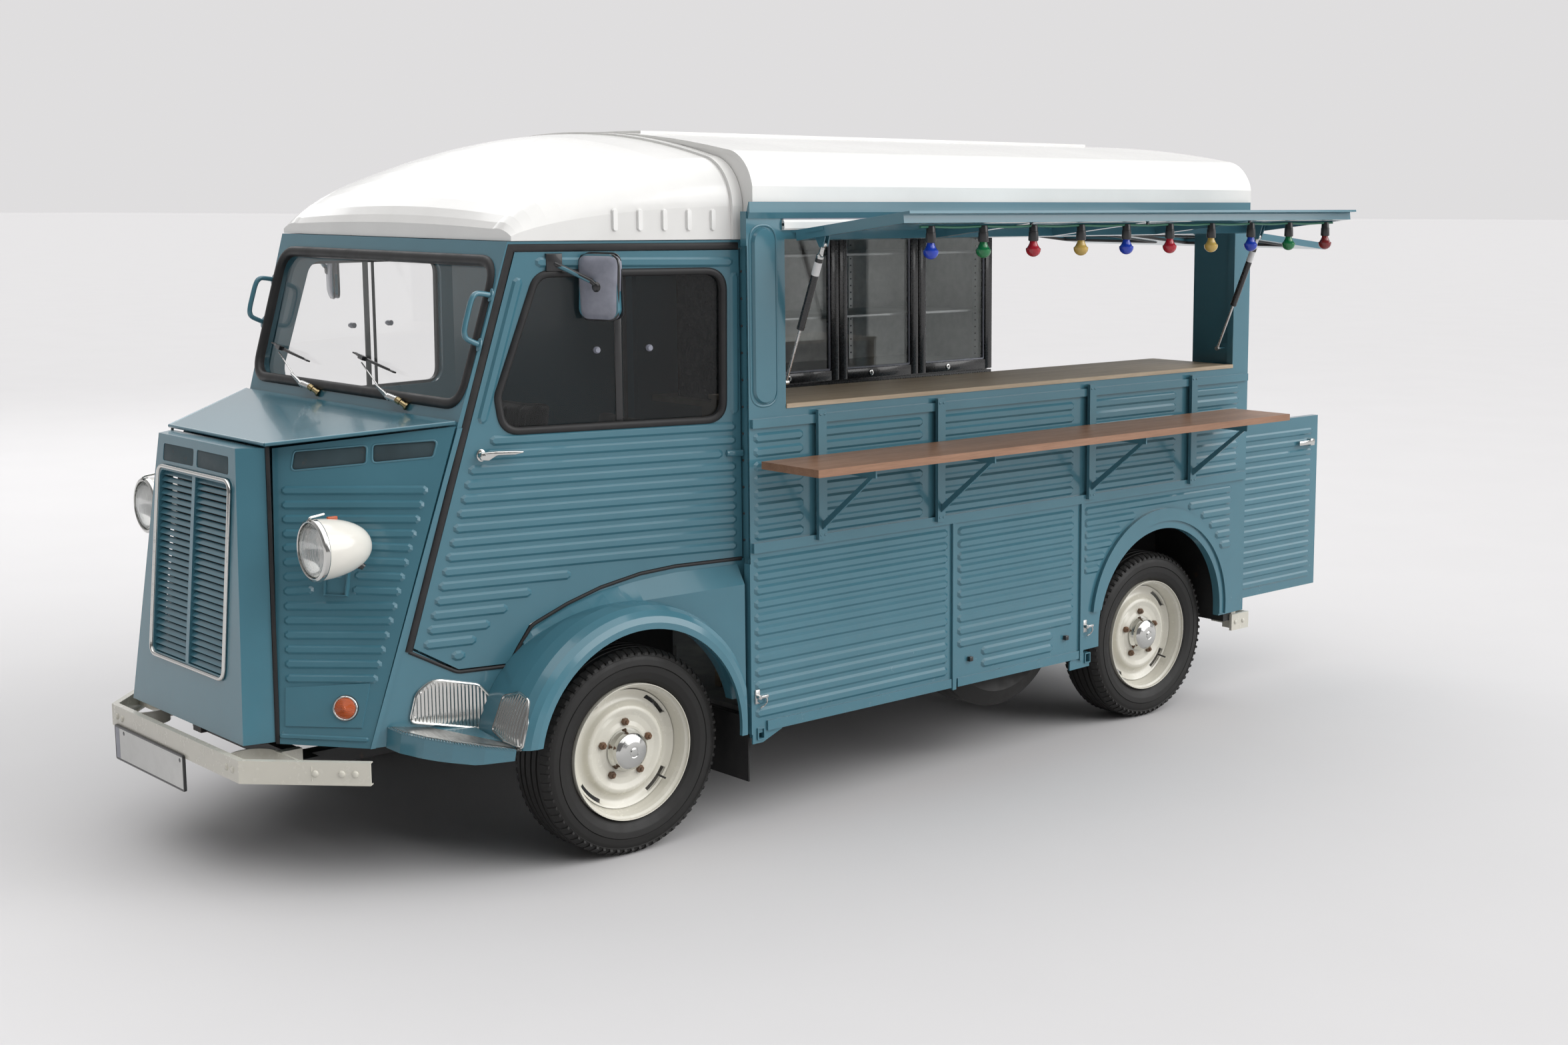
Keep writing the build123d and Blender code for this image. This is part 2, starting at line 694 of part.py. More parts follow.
def cab_roof():
    stations = [430, 340, 250, 160, 70, -10, -80, -140, -190, -230, -262, -285, -302]
    outer = [roof_face(y, cab_x(y) + 4, cab_eave, cab_eave + dome_height(y), 0) for y in stations]
    inner = [roof_face(y, cab_x(y) + 4, cab_eave - 1, cab_eave + dome_height(y), 16) for y in stations[:-1]]
    dome = loft(outer, ruled=True) - loft(inner, ruled=True)
    flange = [roof_face(y, cab_x(430) + 9, cab_eave, cab_eave + dome_height(430) + 5, inset)
              for y, inset in ((439, 0), (439, 18))]
    ring = extrude(flange[0], amount=40) - extrude(flange[1], amount=40)
    for y in (20, 100, 180, 260, 340):
        boss = Plane((cab_x(y) + 2, y, cab_eave + 62), x_dir=(0, 1, 0), z_dir=(1, 0, 0))
        dome += both(extrude(boss * SlotOverall(72, 22, 90), amount=7, taper=25))
    return dome + ring


# plate that closes the step between the body's roof and the narrower cab roof
def roof_bulkhead():
    half = body_half - wall - 1
    plate = extrude(roof_face(447, body_half - 4, gutter_z - 30, roof_top, 2), amount=6)
    plate += block((-half, half), (441, 447), (cab_eave - 1, gutter_z - 29))
    return plate - extrude(roof_face(450, cab_x(430) - 8, cab_eave - 2, cab_eave + dome_height(430) - 14, 0), amount=12)


def body_roof():
    face = roof_face(body_rear, body_half - 4, gutter_z - 30, roof_top, 0)
    hollow = roof_face(body_rear, body_half - 4, gutter_z - 31, roof_top, 16)
    length = body_rear - 440
    outer = extrude(face, amount=length)
    inner = extrude(hollow, amount=length + 4)
    shell = outer - Pos(0, 2, 0) * inner
    raised = block((-200, 200), (560, 2850), (roof_top - 14, roof_top + 6))
    return shell + [raised, roof_bulkhead()]


# ---------------------------------------------------------------- load body
def arch_flare():
    outer = Pos(0, 0, rear_arch_z + 41) * x_rod(rear_arch_outer - 5, (body_half - 2, body_half + 14), rear_arch_y, 0)
    outer += block((body_half - 2, body_half + 14), (rear_arch_y + 300, rear_arch_y + rear_arch_outer - 8), (385, rear_arch_z))
    shelf = Pos(0, 0, rear_arch_z + 8) * x_rod(rear_arch_inner + 22, (body_half + 5, body_half + 15), rear_arch_y + 14, 0)
    outer -= shelf
    outer -= block((900, 1100), (rear_arch_y - 500, rear_arch_y + 290), (0, rear_arch_z + 90))
    outer -= block((900, 1100), (rear_arch_y, rear_arch_y + 500), (0, 385))
    return outer


def side_wall(openings, spans):
    low = [(body_front, sill_bottom), (body_rear, sill_bottom + 50), (body_rear, gutter_z - 31), (body_front, gutter_z - 31)]
    panel = yz_prism(low, (body_half - wall, body_half))
    panel += arch_flare()
    cuts = [x_rod(rear_arch_inner, (900, 1000), rear_arch_y + 8, rear_arch_z)]
    cuts.append(block((900, 1000), (rear_arch_y + 8 - rear_arch_inner, rear_arch_y + 8 + rear_arch_inner), (200, rear_arch_z)))
    cuts.append(xy_prism([(936, 400), (980, 400), (980, 411.5), (936, 435.2)], (900, 1930)))
    cuts += [block((900, 1000), y, z) for y, z in openings]
    panel -= cuts
    gutter = xz_prism([(body_half - 2, gutter_z - 54), (body_half + 4, gutter_z - 54), (body_half + 12, gutter_z - 34),
                       (body_half + 12, gutter_z), (body_half + 8, gutter_z), (body_half - 2, gutter_z - 30)],
                      (body_front + 4, body_rear - 22))
    return panel + ([gutter] + side_ribs(body_half, spans))


def arch_spans():
    spans = [(2016, 2917, rib_z(0))]
    for index in range(1, 6):
        z = rib_z(index)
        reach = math.sqrt(432 ** 2 - (z - rear_arch_z - 41) ** 2)
        spans.append((2016, rear_arch_y - reach + 14, z))
        spans.append((rear_arch_y + reach - 2, 2920, z))
    return spans


mid_bays = ((428, 638), (690, 1178), (1246, 1955), (2040, 2552), (2640, 2952))


def side_left():
    spans = [(424, 1300, rib_z(index)) for index in range(12)]
    spans += [(1346, 1962, rib_z(index)) for index in range(10)]
    spans += [(1466, 1850, rib_z(index)) for index in (10, 11)]
    spans += arch_spans()
    spans += [(start, end, rib_z(index)) for start, end in mid_bays for index in range(-9, -1)]
    panel = side_wall([(opening_y, opening_z)], spans)
    trims = strut_mounts()
    for z in ((935, 968), (1344, 1373)):
        trims.append(block((body_half - 2, body_half + 11), (body_front + 10, body_rear - 10), z))
    for y in (1326, 2003):
        trims.append(block((body_half - 2, body_half + 9), (y - 9, y + 9), (sill_bottom - 4, 935)))
    trims.append(block((body_half - 2, body_half + 8), (472, 1312), (sill_bottom + 5, sill_bottom + 38)))
    trims.append(block((body_half - 2, body_half + 6), (1346, 1992), (sill_bottom + 3, sill_bottom + 34)))
    pill = Plane((body_half - 1, 477, 1704), x_dir=(0, 1, 0), z_dir=(1, 0, 0)) * SlotOverall(570, 96, 90)
    trims.append(extrude(pill, amount=12, taper=30))
    trims += jack_sockets() + body_latches()
    for y in (1407, 1916):
        trims.append(block((body_half - 2, body_half + 14), (y - 8, y + 8), (419, 435)))
    return panel + trims


def jack_sockets():
    sockets = []
    for y, toward in ((446, 1), (2042, -1)):
        plate = yz_prism([(y - 32, 349), (y - 32, 297), (y + 10, 297), (y + 92, 330), (y + 92, 349)], (body_half - 6, body_half))
        if toward < 0:
            plate = yz_prism([(y + 14, 349), (y + 14, 294), (y - 96, 292), (y - 96, 326), (y - 60, 349)],
                             (body_half - 6, body_half))
        tube = block((body_half - 60, body_half + 6), (y - 15, y + 15), (309, 349)) - block((850, 1000), (y - 11, y + 11), (313, 345))
        sockets.append(plate - block((850, 1000), (y - 11, y + 11), (313, 345)) + tube)
    return sockets


def body_latches():
    latches = []
    for y in (433, 2026):
        plate = block((body_half - 1, body_half + 4), (y - 9, y + 9), (432, 478))
        boss = x_rod(7, (body_half, body_half + 20), y, 455)
        tongue = block((body_half + 12, body_half + 18), (y - 4, y + 34), (451, 459))
        latches.append(plate + [boss, tongue])
    return latches


slide_opening = (590, 1330)
slide_travel = 700
slide_x = (990, 1012)


def side_right():
    spans = [(424, 560, rib_z(index)) for index in range(12)]
    spans += [(1366, 1980, rib_z(index)) for index in range(12)]
    spans += arch_spans()
    spans += [(1366, 2540, rib_z(index)) for index in range(-22, -1)]
    spans += [(2580, 2952, rib_z(index)) for index in range(-22, -1)]
    panel = side_wall([(slide_opening, (floor_z, 1930))], spans)
    rail_y = (slide_opening[0] - 20, slide_opening[1] + slide_travel + 40)
    rail = xz_prism([(body_half - 2, 1966), (1022, 1966), (1022, 1936), (1018, 1936), (1018, 1960), (body_half - 2, 1960)],
                    rail_y)
    guide = block((body_half - 2, 1008), rail_y, (375, 383))
    return mirrored(panel + [rail, guide])


def rear_frame():
    hinge_x, hinge_y = leaf_hinge
    post = block((rear_opening_half, body_half - wall - 1), (2926, body_rear), (floor_z + 0.5, 1960))
    for z in leaf_hinges:
        for side in (-1, 1):
            fixed = Pos(hinge_x, hinge_y, z + side * 32) * Cylinder(6, 20)
            post += fixed + block((hinge_x, hinge_x + 14), (body_rear - 1, hinge_y), (z + side * 32 - 10, z + side * 32 + 10))
        post += Pos(hinge_x, hinge_y, z) * Cylinder(3, 60)
    header = block((-body_half + wall + 1, body_half - wall - 1), (2960, body_rear), (1960, 2040))
    y, z = tailgate_hinge
    for x in tailgate_hinges:
        for side in (-1, 1):
            span = (x + side * 32 - 10, x + side * 32 + 10)
            header += x_rod(6, span, y, z) + block(span, (body_rear - 1, y), (z, z + 6))
        header += x_rod(3, (x - 30, x + 30), y, z)
    arch = extrude(roof_face(body_rear, body_half - 4, gutter_z - 30, roof_top, 17), amount=24)
    sill = block((-rear_opening_half, rear_opening_half), (2975, body_rear), (floor_z - 36, floor_z))
    return post + mirrored(post) + header + arch + sill


# sprung strap curving from the bumper's back to its stay, which runs out to the bumper's end
def bumper_bracket(side):
    strap = Pos(side * 392, -1015, 400) * (Cylinder(75, 46) - Cylinder(68, 60))
    strap -= block(sorted((side * 392, side * 520)), (-1200, -900), (300, 500))
    stay = block(sorted((side * 388, side * 628)), (-948, -940), (378, 422))
    root = block((side * 400 - 14, side * 400 + 14), (-944, -870), (380, 420))
    return [strap, stay, root]


def bumpers():
    front_plan = [(-755, -828), (-466, -1095), (466, -1095), (755, -828), (741, -812), (458, -1075), (-458, -1075), (-741, -812)]
    front = xy_prism(front_plan, (365, 435))
    hollow_plan = [(-752, -820), (-463, -1089), (463, -1089), (752, -820), (730, -800), (456, -1065), (-456, -1065),
                   (-730, -800)]
    front -= xy_prism(hollow_plan, (369, 431))
    front += [piece for side in (-1, 1) for piece in bumper_bracket(side)]
    plate = block((-430, 90), (-1102, -1095), (262, 372))
    rear = xy_prism([(960, 2960), (960, 3073), (770, 3073), (770, 3060), (947, 3060), (947, 2960)], (293, 361))
    link = block((900, 947), (2972, 3000), (300, 379.5))
    return [front + plate] + both(rear + link)


headlamp_centre = (592, -900, 1055)


def headlamp_shell():
    profile = make_face(Polyline((0, 0), (0, 84), (-10, 92), (-26, 92), (-80, 84), (-130, 66), (-165, 40), (-180, 12), (-181, 0), close=True))
    bowl = revolve(profile, Axis.X)
    aim = Rot(0, 0, -90)
    x, y, z = headlamp_centre
    return Pos(x, y, z) * (aim * bowl)


def lamp_bracket():
    x, y, z = headlamp_centre
    foot = quarter_point(502, 966)
    arm = bar(tuple(foot - quarter_plane.z_dir * 2), (x - 12, y + 86, z - 58), 15)
    seat = Plane(foot + quarter_plane.z_dir * panel_rise, z_dir=quarter_plane.z_dir)
    return arm - extrude(seat * Rectangle(100, 100), amount=-60)


def lamp_lenses():
    x, y, z = headlamp_centre
    bulge = make_face(Polyline((0, 0), (0, 82), (6, 74), (12, 50), (15, 0), close=True))
    lens = Pos(x, y - 1, z) * (Rot(0, 0, -90) * revolve(bulge, Axis.X))
    plane = Plane(quarter_point(567, 561) + quarter_plane.z_dir * panel_rise, z_dir=quarter_plane.z_dir)
    indicator = extrude(plane * Circle(38), amount=26 - panel_rise, taper=12)
    stop_lamp = y_rod(38, 868, (body_rear, body_rear + 26), 705)
    turn_lamp = y_rod(31, 868, (body_rear, body_rear + 22), 618)
    return both(lens) + both(indicator) + both(stop_lamp) + both(turn_lamp)


# ---------------------------------------------------------------- rear doors, hatch, sliding door
def rear_leaf():
    hinge_x, hinge_y = leaf_hinge
    x = (hinge_x + 8, hinge_x + 8 + leaf_thick)
    leaf = block(x, (hinge_y + 8, hinge_y + 8 + leaf_width), leaf_z)
    plane = Plane((x[1], 0, 0), x_dir=(0, 1, 0), z_dir=(1, 0, 0))
    ribs = []
    for index in range(15):
        z = leaf_z[0] + 50 + index * 46
        ribs.append(rib(plane, (hinge_y + 50, z), (hinge_y + leaf_width - 30, z), 32, 6))
    knuckles = []
    for z in leaf_hinges:
        knuckles.append(Pos(hinge_x, hinge_y, z) * (Cylinder(6, 40) - Cylinder(3.05, 42)))
        knuckles.append(block((hinge_x + 3, x[0] + 2), (hinge_y - 2, hinge_y + 16), (z - 20, z + 20))
                        - Pos(hinge_x, hinge_y, z) * Cylinder(4.5, 50))
    latch = block((x[1] - 1, x[1] + 22), (hinge_y + leaf_width - 70, hinge_y + leaf_width - 40),
                  (leaf_z[1] - 130, leaf_z[1] - 100))
    latch += block((x[1] + 14, x[1] + 22), (hinge_y + leaf_width - 150, hinge_y + leaf_width - 40),
                   (leaf_z[1] - 124, leaf_z[1] - 106))
    return leaf + (ribs + knuckles + [latch])


def tailgate():
    y, z = tailgate_hinge
    half = rear_opening_half - 5
    gate = block((-half, half), (y + 10, y + tailgate_length), (z - 14, z + 14))
    for side in (-1, 1):
        gate -= block((side * 380 - 290, side * 380 + 290), (y + 250, y + 640), (z - 40, z + 40))
    leaves = []
    for x in tailgate_hinges:
        knuckle = x_rod(6, (x - 20, x + 20), y, z) - x_rod(3.05, (x - 22, x + 22), y, z)
        leaves.append(knuckle + block((x - 20, x + 20), (y + 5, y + 24), (z - 3, z + 3)))
    handle = block((-60, 60), (y + tailgate_length - 60, y + tailgate_length - 36), (z + 10, z + 34))
    gate = gate + (leaves + [handle])
    return Pos(0, y, z) * (Rot(-tailgate_drop, 0, 0) * (Pos(0, -y, -z) * gate))


strut_ys = (opening_y[0] + strut_inset, opening_y[1] - strut_inset)


def hatch_place(shape):
    x, z = hatch_hinge
    return Pos(x, 0, z) * (Rot(0, -hatch_rise, 0) * (Pos(-x, 0, -z) * shape))


# built level, hinged edge first, then tilted up about its hinge line
def hatch():
    x, z = hatch_hinge
    y = (opening_y[0] + 8, opening_y[1] - 8)
    under = (z - hatch_depth, z)
    pieces = [block((x + 9, x + hatch_reach), y, (z - 4, z + 4))]
    for reach in (30, 513):
        pieces.append(block((x + reach, x + reach + 34), y, under))
    for start, width in [(y[0], 12), (y[1] - 12, 12)] + [(rib_y, 30) for rib_y in hatch_ribs]:
        pieces.append(block((x + 31, x + 546), (start, start + width), under))
    for place in hatch_hinges:
        knuckle = y_rod(7, x, (place - 10, place + 10), z) - y_rod(3.05, x, (place - 11, place + 11), z)
        pieces.append(knuckle + block((x + 5, x + 22), (place - 10, place + 10), (z - 3, z + 3)))
    turn = math.radians(hatch_rise)
    across, down = strut_head[0] - x, strut_head[1] - z
    eye = (x + across * math.cos(turn) + down * math.sin(turn), z - across * math.sin(turn) + down * math.cos(turn))
    for place in strut_ys:
        pieces.append(block((eye[0] - 46, eye[0] + 46), (place - 34, place + 34), (z - 10, z)))
        for side in (-1, 1):
            ear = xz_prism([(eye[0] - 34, z - 8), (eye[0] - 9, eye[1] - 9), (eye[0] + 9, eye[1] - 9), (eye[0] + 34, z - 8)],
                           sorted((place + side * 7, place + side * 11)))
            pieces.append(ear)
        pieces.append(y_rod(4, eye[0], (place - 12, place + 12), eye[1]))
    return hatch_place(pieces[0] + pieces[1:])


def strut_point(distance, y):
    foot = Vector(strut_foot[0], 0, strut_foot[1])
    head = Vector(strut_head[0], 0, strut_head[1])
    place = head + (foot - head).normalized() * distance
    return (place.X, y, place.Z)


# the barrel hangs from the hatch by its eye, with the rod coming out of its lower end
def strut_cylinders():
    solids = []
    for y in strut_ys:
        eye = y_rod(11, strut_head[0], (y - 6, y + 6), strut_head[1]) + bar(strut_point(4, y), strut_point(42, y), 7)
        barrel = bar(strut_point(40, y), strut_point(300, y), 12.5) - bar(strut_point(60, y), strut_point(304, y), 5.08)
        solids.append(eye + barrel - y_rod(4.05, strut_head[0], (y - 7, y + 7), strut_head[1]))
    return solids


def strut_rods():
    x, z = strut_foot
    length = math.dist(strut_foot, strut_head)
    solids = []
    for y in strut_ys:
        rod = bar(strut_point(190, y), strut_point(length - 4, y), 5)
        solids.append(rod + y_rod(9, x, (y - 7, y + 7), z))
    return solids


def strut_mounts():
    x, z = strut_foot
    mounts = []
    for y, toward in zip(strut_ys, (-1, 1)):
        stub = y_rod(4, x, sorted((y + toward * 9, y + toward * 50)), z)
        ear = block((x - 16, body_half - wall + 1), sorted((y + toward * 46, y + toward * 58)), (z - 22, z + 22))
        mounts.append(stub + ear)
    for place in hatch_hinges:
        for side in (-1, 1):
            span = sorted((place + side * 11, place + side * 30))
            fixed = y_rod(7, hatch_hinge[0], span, hatch_hinge[1])
            leaf = block((body_half - 1, hatch_hinge[0]), span, (hatch_hinge[1] - 3, hatch_hinge[1] + 3))
            mounts.append(fixed + leaf)
        mounts.append(y_rod(3, hatch_hinge[0], (place - 30, place + 30), hatch_hinge[1]))
    return mounts


bulb_count = 10
bulb_x = 1500
bulb_y = (725, 2793)


def light_string():
    cable_z = 1996
    pitch = (bulb_y[1] - bulb_y[0]) / (bulb_count - 1)
    pieces = [y_rod(4, bulb_x, (bulb_y[0] - 45, bulb_y[1] + 45), cable_z)]
    profile = [(4, 14, 0), (-50, 14, 8), (-73, 25, -24), (-97, 8, 0)]
    for index in range(bulb_count):
        y = bulb_y[0] + pitch * index
        for (high, wide, _), (low, narrow, _) in zip(profile, profile[1:]):
            rings = [Plane((bulb_x, y, cable_z + z)) * RegularPolygon(radius, 10) for z, radius in ((high, wide), (low, narrow))]
            pieces.append(loft(rings, ruled=True))
    for y in hatch_ribs:
        pieces.append(block((bulb_x - 3, bulb_x + 3), (y + 10, y + 20), (cable_z, 2003)))
    return pieces[0] + pieces[1:]


# roller housing under the gutter, over the hatch's hinge line
def hatch_cassette():
    return xz_prism([(body_half, 1980), (988, 1980), (991, 1985), (991, 2005), (985, 2013), (body_half, 2013)],
                    (opening_y[0] - 10, opening_y[1]))


def shelf_board():
    return block((1006, 1292), (440, 2880), (1213, 1238))


def shelf_brackets():
    brackets = []
    for y in (701, 1246, 2035, 2637):
        post = block((body_half + 11, body_half + 25), (y - 18, y + 18), (951, 1388))
        arm = block((1003, 1270), (y - 3, y + 3), (1185, 1212.5))
        brace = xz_prism([(1003, 985), (1003, 1012), (1240, 1190), (1262, 1190)], (y - 3, y + 3))
        brackets.append(post + [arm, brace])
    return brackets


cooler_x = (-820, -300)
cooler_y = (1443, 2793)
cooler_z = (1250, 2146)
cooler_door_x = 34


def counters():
    top = (1400, 1415)
    front = block((560, body_half - wall - 1), (opening_y[0], opening_y[1] - 10), top)
    front += block((body_half - wall - 1, body_half + 4), (opening_y[0] + 1, opening_y[1] - 1), (top[0] + 0.5, top[1]))
    for y in (opening_y[0] + 4, 1270, 2010, opening_y[1] - 40):
        front += block((570, 600), (y, y + 30), (floor_z, top[0] + 1))
    back_y = (1400, 2860)
    back = block((-body_half + wall + 1, -290), back_y, (cooler_z[0] - 25, cooler_z[0] - 1))
    for y in (back_y[0], 1990, back_y[1] - 24):
        back += block((-600, -310), (y, y + 24), (floor_z, cooler_z[0] - 24))
    return [front, back]


def cooler():
    x, y, z = cooler_x, cooler_y, cooler_z
    case = block((x[0], x[1] - cooler_door_x), y, z)
    case -= block((x[0] + 40, x[1]), (y[0] + 30, y[1] - 30), (z[0] + 110, z[1] - 40))
    grille_band = block((x[1] - cooler_door_x, x[1] - 6), y, (z[0], z[0] + 70))
    case += grille_band
    for shelf_z in (z[0] + 330, z[0] + 590):
        case += block((x[0] + 40, x[1] - cooler_door_x - 30), (y[0] + 29, y[1] - 29), (shelf_z, shelf_z + 8))
    return case


def cooler_door(index):
    x, y, z = cooler_x, cooler_y, cooler_z
    width = (y[1] - y[0]) / 3
    y0 = y[0] + width * index + 2
    y1 = y[0] + width * (index + 1) - 2
    door_body = block((x[1] - cooler_door_x + 1, x[1]), (y0, y1), (z[0] + 76, z[1]))
    door_body -= block((x[1] - 60, x[1] + 10), (y0 + 42, y1 - 42), (z[0] + 120, z[1] - 44))
    pane = block((x[1] - 22, x[1] - 12), (y0 + 40, y1 - 40), (z[0] + 118, z[1] - 42))
    return door_body + pane


def seats():
    solids = []
    for x in (-1, 1):
        base = block((x * 400 - 230, x * 400 + 230), (-60, 380), (800, 900))
        back = yz_prism([(330, 900.5), (410, 900.5), (430, 1360), (370, 1360)], (x * 400 - 230, x * 400 + 230))
        solids.extend([base, back])
    return solids


def dashboard():
    body = yz_prism([(-434, 1250), (-434, 1372), (-380, 1378), (-340, 1340), (-352, 1230)], (-640, 640))
    bracket = block((375, 425), (-400, -341), (1140, 1240))
    centre = Vector(400, -200, 1305)
    lean = Vector(0, 170, 230).normalized()
    column = bar(tuple(centre - lean * 215), tuple(centre - lean * 8), 16)
    wheel_plane = Plane(centre, z_dir=lean)
    ring = revolve(Plane.XZ * (Pos(190, 0) * RegularPolygon(13, 6)), Axis.Z)
    hub = wheel_plane * Cylinder(40, 30)
    spokes = []
    for angle in (90, 210, 330):
        turn = math.radians(angle)
        end = Vector(190 * math.cos(turn), 190 * math.sin(turn), 0)
        spokes.append(bar(tuple(centre), tuple(wheel_plane.from_local_coords(end)), 7))
    return body + ([bracket, column, hub, wheel_plane * ring] + spokes)


def mirror_unit():
    foot = sheet_on(side_plane.offset(9), [side_point(-196, 1859), side_point(-150, 1859), side_point(-150, 1909),
                                           side_point(-196, 1909)], 10)
    arm = bar((cab_x(-172) + 4, -172, 1880), (862, -100, 1828), 7)
    arm += bar((862, -100, 1830), (866, -74, 1812), 7)
    shape = fillet(outline([(-66, -100), (66, -100), (74, 96), (-74, 96)]).vertices(), 30)
    face = Plane((866, -76, 1810), x_dir=(math.cos(0.35), math.sin(0.35), 0), z_dir=(-math.sin(0.35), math.cos(0.35), 0))
    head = extrude(face * shape, amount=22)
    return foot + [arm, head]


def mudflap():
    return block((730, 940), (424, 430), (160, 379))


def sliding_door():
    y = (slide_opening[0] - 14, slide_opening[1] + 14)
    panel = block(slide_x, y, (floor_z - 6, 1924))
    ribs = side_ribs(slide_x[1], [(y[0] + 40, y[1] - 40, rib_z(index)) for index in range(-22, 12)])
    hangers = []
    for place in (y[0] + 90, y[1] - 90):
        hangers.append(block((998, 1004), (place - 15, place + 15), (1920, 1950)))
        hangers.append(Pos(1001, place, 1947) * Cylinder(9, 8))
    handle = block((1012, 1040), (y[0] + 14, y[0] + 34), (1080, 1220)) - block((1018, 1032), (0, 900), (1100, 1200))
    return mirrored(panel + (ribs + hangers + [handle]))


# ---------------------------------------------------------------- assembly
keep("floor_frame", floor_frame())
keep("chassis_frame", chassis_frame())
keep("wheel_housings", wheel_housings())
keep("engine_block", engine())
keep("suspension", suspension())
keep("front_panels", nose_cowl(), both(quarter_panel()))
keep("grille", grille())
keep("cab_shell", cab_shell())
keep("windscreen", windscreen())
keep("cab_roof", cab_roof())
keep("body_roof", body_roof())
keep("side_left", side_left())
keep("side_right", side_right())
keep("rear_frame", rear_frame())
cab_trims = [ridge_strip(), kick_plate()]
keep("wings", both(wing() - cab_trims), both(step() - cab_trims))
keep("bumpers", bumpers())
keep("headlamps", both(headlamp_shell() + lamp_bracket()))
keep("lamp_lenses", lamp_lenses())
keep("hood", hood())
keep("mudflaps", both(mudflap()))
keep("light_string", light_string())
keep("counters", counters())
keep("cooler", cooler())
for index in range(3):
    keep("cooler_door_" + str(index + 1), cooler_door(index))
keep("shelf", shelf_board())
keep("shelf_brackets", shelf_brackets())
keep("hatch_cassette", hatch_cassette())
keep("seats", seats())
keep("dashboard", dashboard())
keep("hatch", hatch())
keep("strut_cylinders", strut_cylinders())
keep("strut_rods", strut_rods())
keep("tailgate", tailgate())
keep("sliding_door", sliding_door())
left_leaf = rear_leaf()
keep("rear_door_left", left_leaf)
keep("rear_door_right", mirrored(left_leaf))
left_door = door()
keep("door_left", left_door)
keep("door_right", mirrored(left_door))
left_glass = door_glass()
keep("door_glass_left", left_glass)
keep("door_glass_right", mirrored(left_glass))
left_knuckle = knuckle()
keep("knuckle_left", left_knuckle)
keep("knuckle_right", mirrored(left_knuckle))
for end, y in (("front", 0), ("rear", wheelbase)):
    for side, sign in (("left", 1), ("right", -1)):
        keep("tyre_" + end + "_" + side, tyre(sign * track_half, y))
        keep("wheel_" + end + "_" + side, wheel(sign * track_half, y, sign))
keep("spare_wheel", spare_wheel())

for name, shape in parts.items():
    export_step(shape, "parts/" + name + ".step")
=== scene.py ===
import json
from math import atan2, cos, degrees, hypot, pi, radians, sin, sqrt, tan

import bmesh
import bpy
from mathutils import Matrix, Vector

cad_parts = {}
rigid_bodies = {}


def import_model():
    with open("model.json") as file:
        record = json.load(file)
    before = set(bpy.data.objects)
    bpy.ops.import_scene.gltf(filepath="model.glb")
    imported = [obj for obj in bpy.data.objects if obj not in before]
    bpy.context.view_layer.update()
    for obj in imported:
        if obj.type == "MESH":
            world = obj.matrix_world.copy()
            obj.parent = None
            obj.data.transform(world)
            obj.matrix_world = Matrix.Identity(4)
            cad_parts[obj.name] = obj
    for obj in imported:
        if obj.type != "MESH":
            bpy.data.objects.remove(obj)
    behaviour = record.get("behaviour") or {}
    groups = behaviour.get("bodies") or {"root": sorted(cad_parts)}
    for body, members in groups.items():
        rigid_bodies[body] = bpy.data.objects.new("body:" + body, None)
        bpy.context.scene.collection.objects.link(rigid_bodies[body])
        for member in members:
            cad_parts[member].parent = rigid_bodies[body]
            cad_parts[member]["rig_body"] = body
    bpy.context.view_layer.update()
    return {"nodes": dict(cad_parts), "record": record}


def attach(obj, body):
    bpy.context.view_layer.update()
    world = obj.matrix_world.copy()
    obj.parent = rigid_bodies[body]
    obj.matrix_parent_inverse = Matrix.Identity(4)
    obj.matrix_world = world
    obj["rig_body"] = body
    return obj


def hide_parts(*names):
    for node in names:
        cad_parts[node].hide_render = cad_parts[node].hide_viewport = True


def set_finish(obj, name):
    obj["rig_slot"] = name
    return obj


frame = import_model()
nodes = frame["nodes"]
scene = bpy.context.scene
scene.view_settings.view_transform = "Standard"
print("stage: frame loaded,", len(nodes), "nodes")
shifted = Matrix.Translation
mirror = Matrix.Diagonal((-1, 1, 1, 1))


def added(name, data):
    thing = bpy.data.objects.new(name, data)
    scene.collection.objects.link(thing)
    return thing


def setInputs(node, values):
    for socket, value in values.items():
        node.inputs[socket.replace("_", " ")].default_value = value
    return node


def nodeOf(tree, kind, **values):
    return setInputs(tree.nodes.new(kind), values)


def wired(tree, *links):
    # each link is a node, its output, the next node and its input
    for source, out, target, into in links:
        tree.links.new(source.outputs[out], target.inputs[into])


def connect(source, socket):
    socket.id_data.links.new(source, socket)


# camera, lights and floor
viewpoint = {
    "place": (6.085, -3.579, 2.092),
    "azimuth": 45.14,  # degrees from straight ahead of the nose towards the van's left
    "elevation": 7.92,
    "roll": 0.286,
    "lens": 46.14,
    "shift": (-0.1305, -0.0301),
}


def makeCamera():
    azimuth, elevation = radians(viewpoint["azimuth"]), radians(viewpoint["elevation"])
    back = Vector((sin(azimuth) * cos(elevation), -cos(azimuth) * cos(elevation), sin(elevation)))
    right = Vector((0, 0, 1)).cross(back).normalized()
    up = back.cross(right)
    turn = Matrix((right, up, back)).transposed() @ Matrix.Rotation(radians(viewpoint["roll"]), 3, "Z")
    data = bpy.data.cameras.new("camera")
    data.lens = viewpoint["lens"]
    data.shift_x, data.shift_y = viewpoint["shift"]
    data.clip_end = 200
    camera = added("camera", data)
    camera.matrix_world = shifted(viewpoint["place"]) @ turn.to_4x4()
    scene.camera = camera


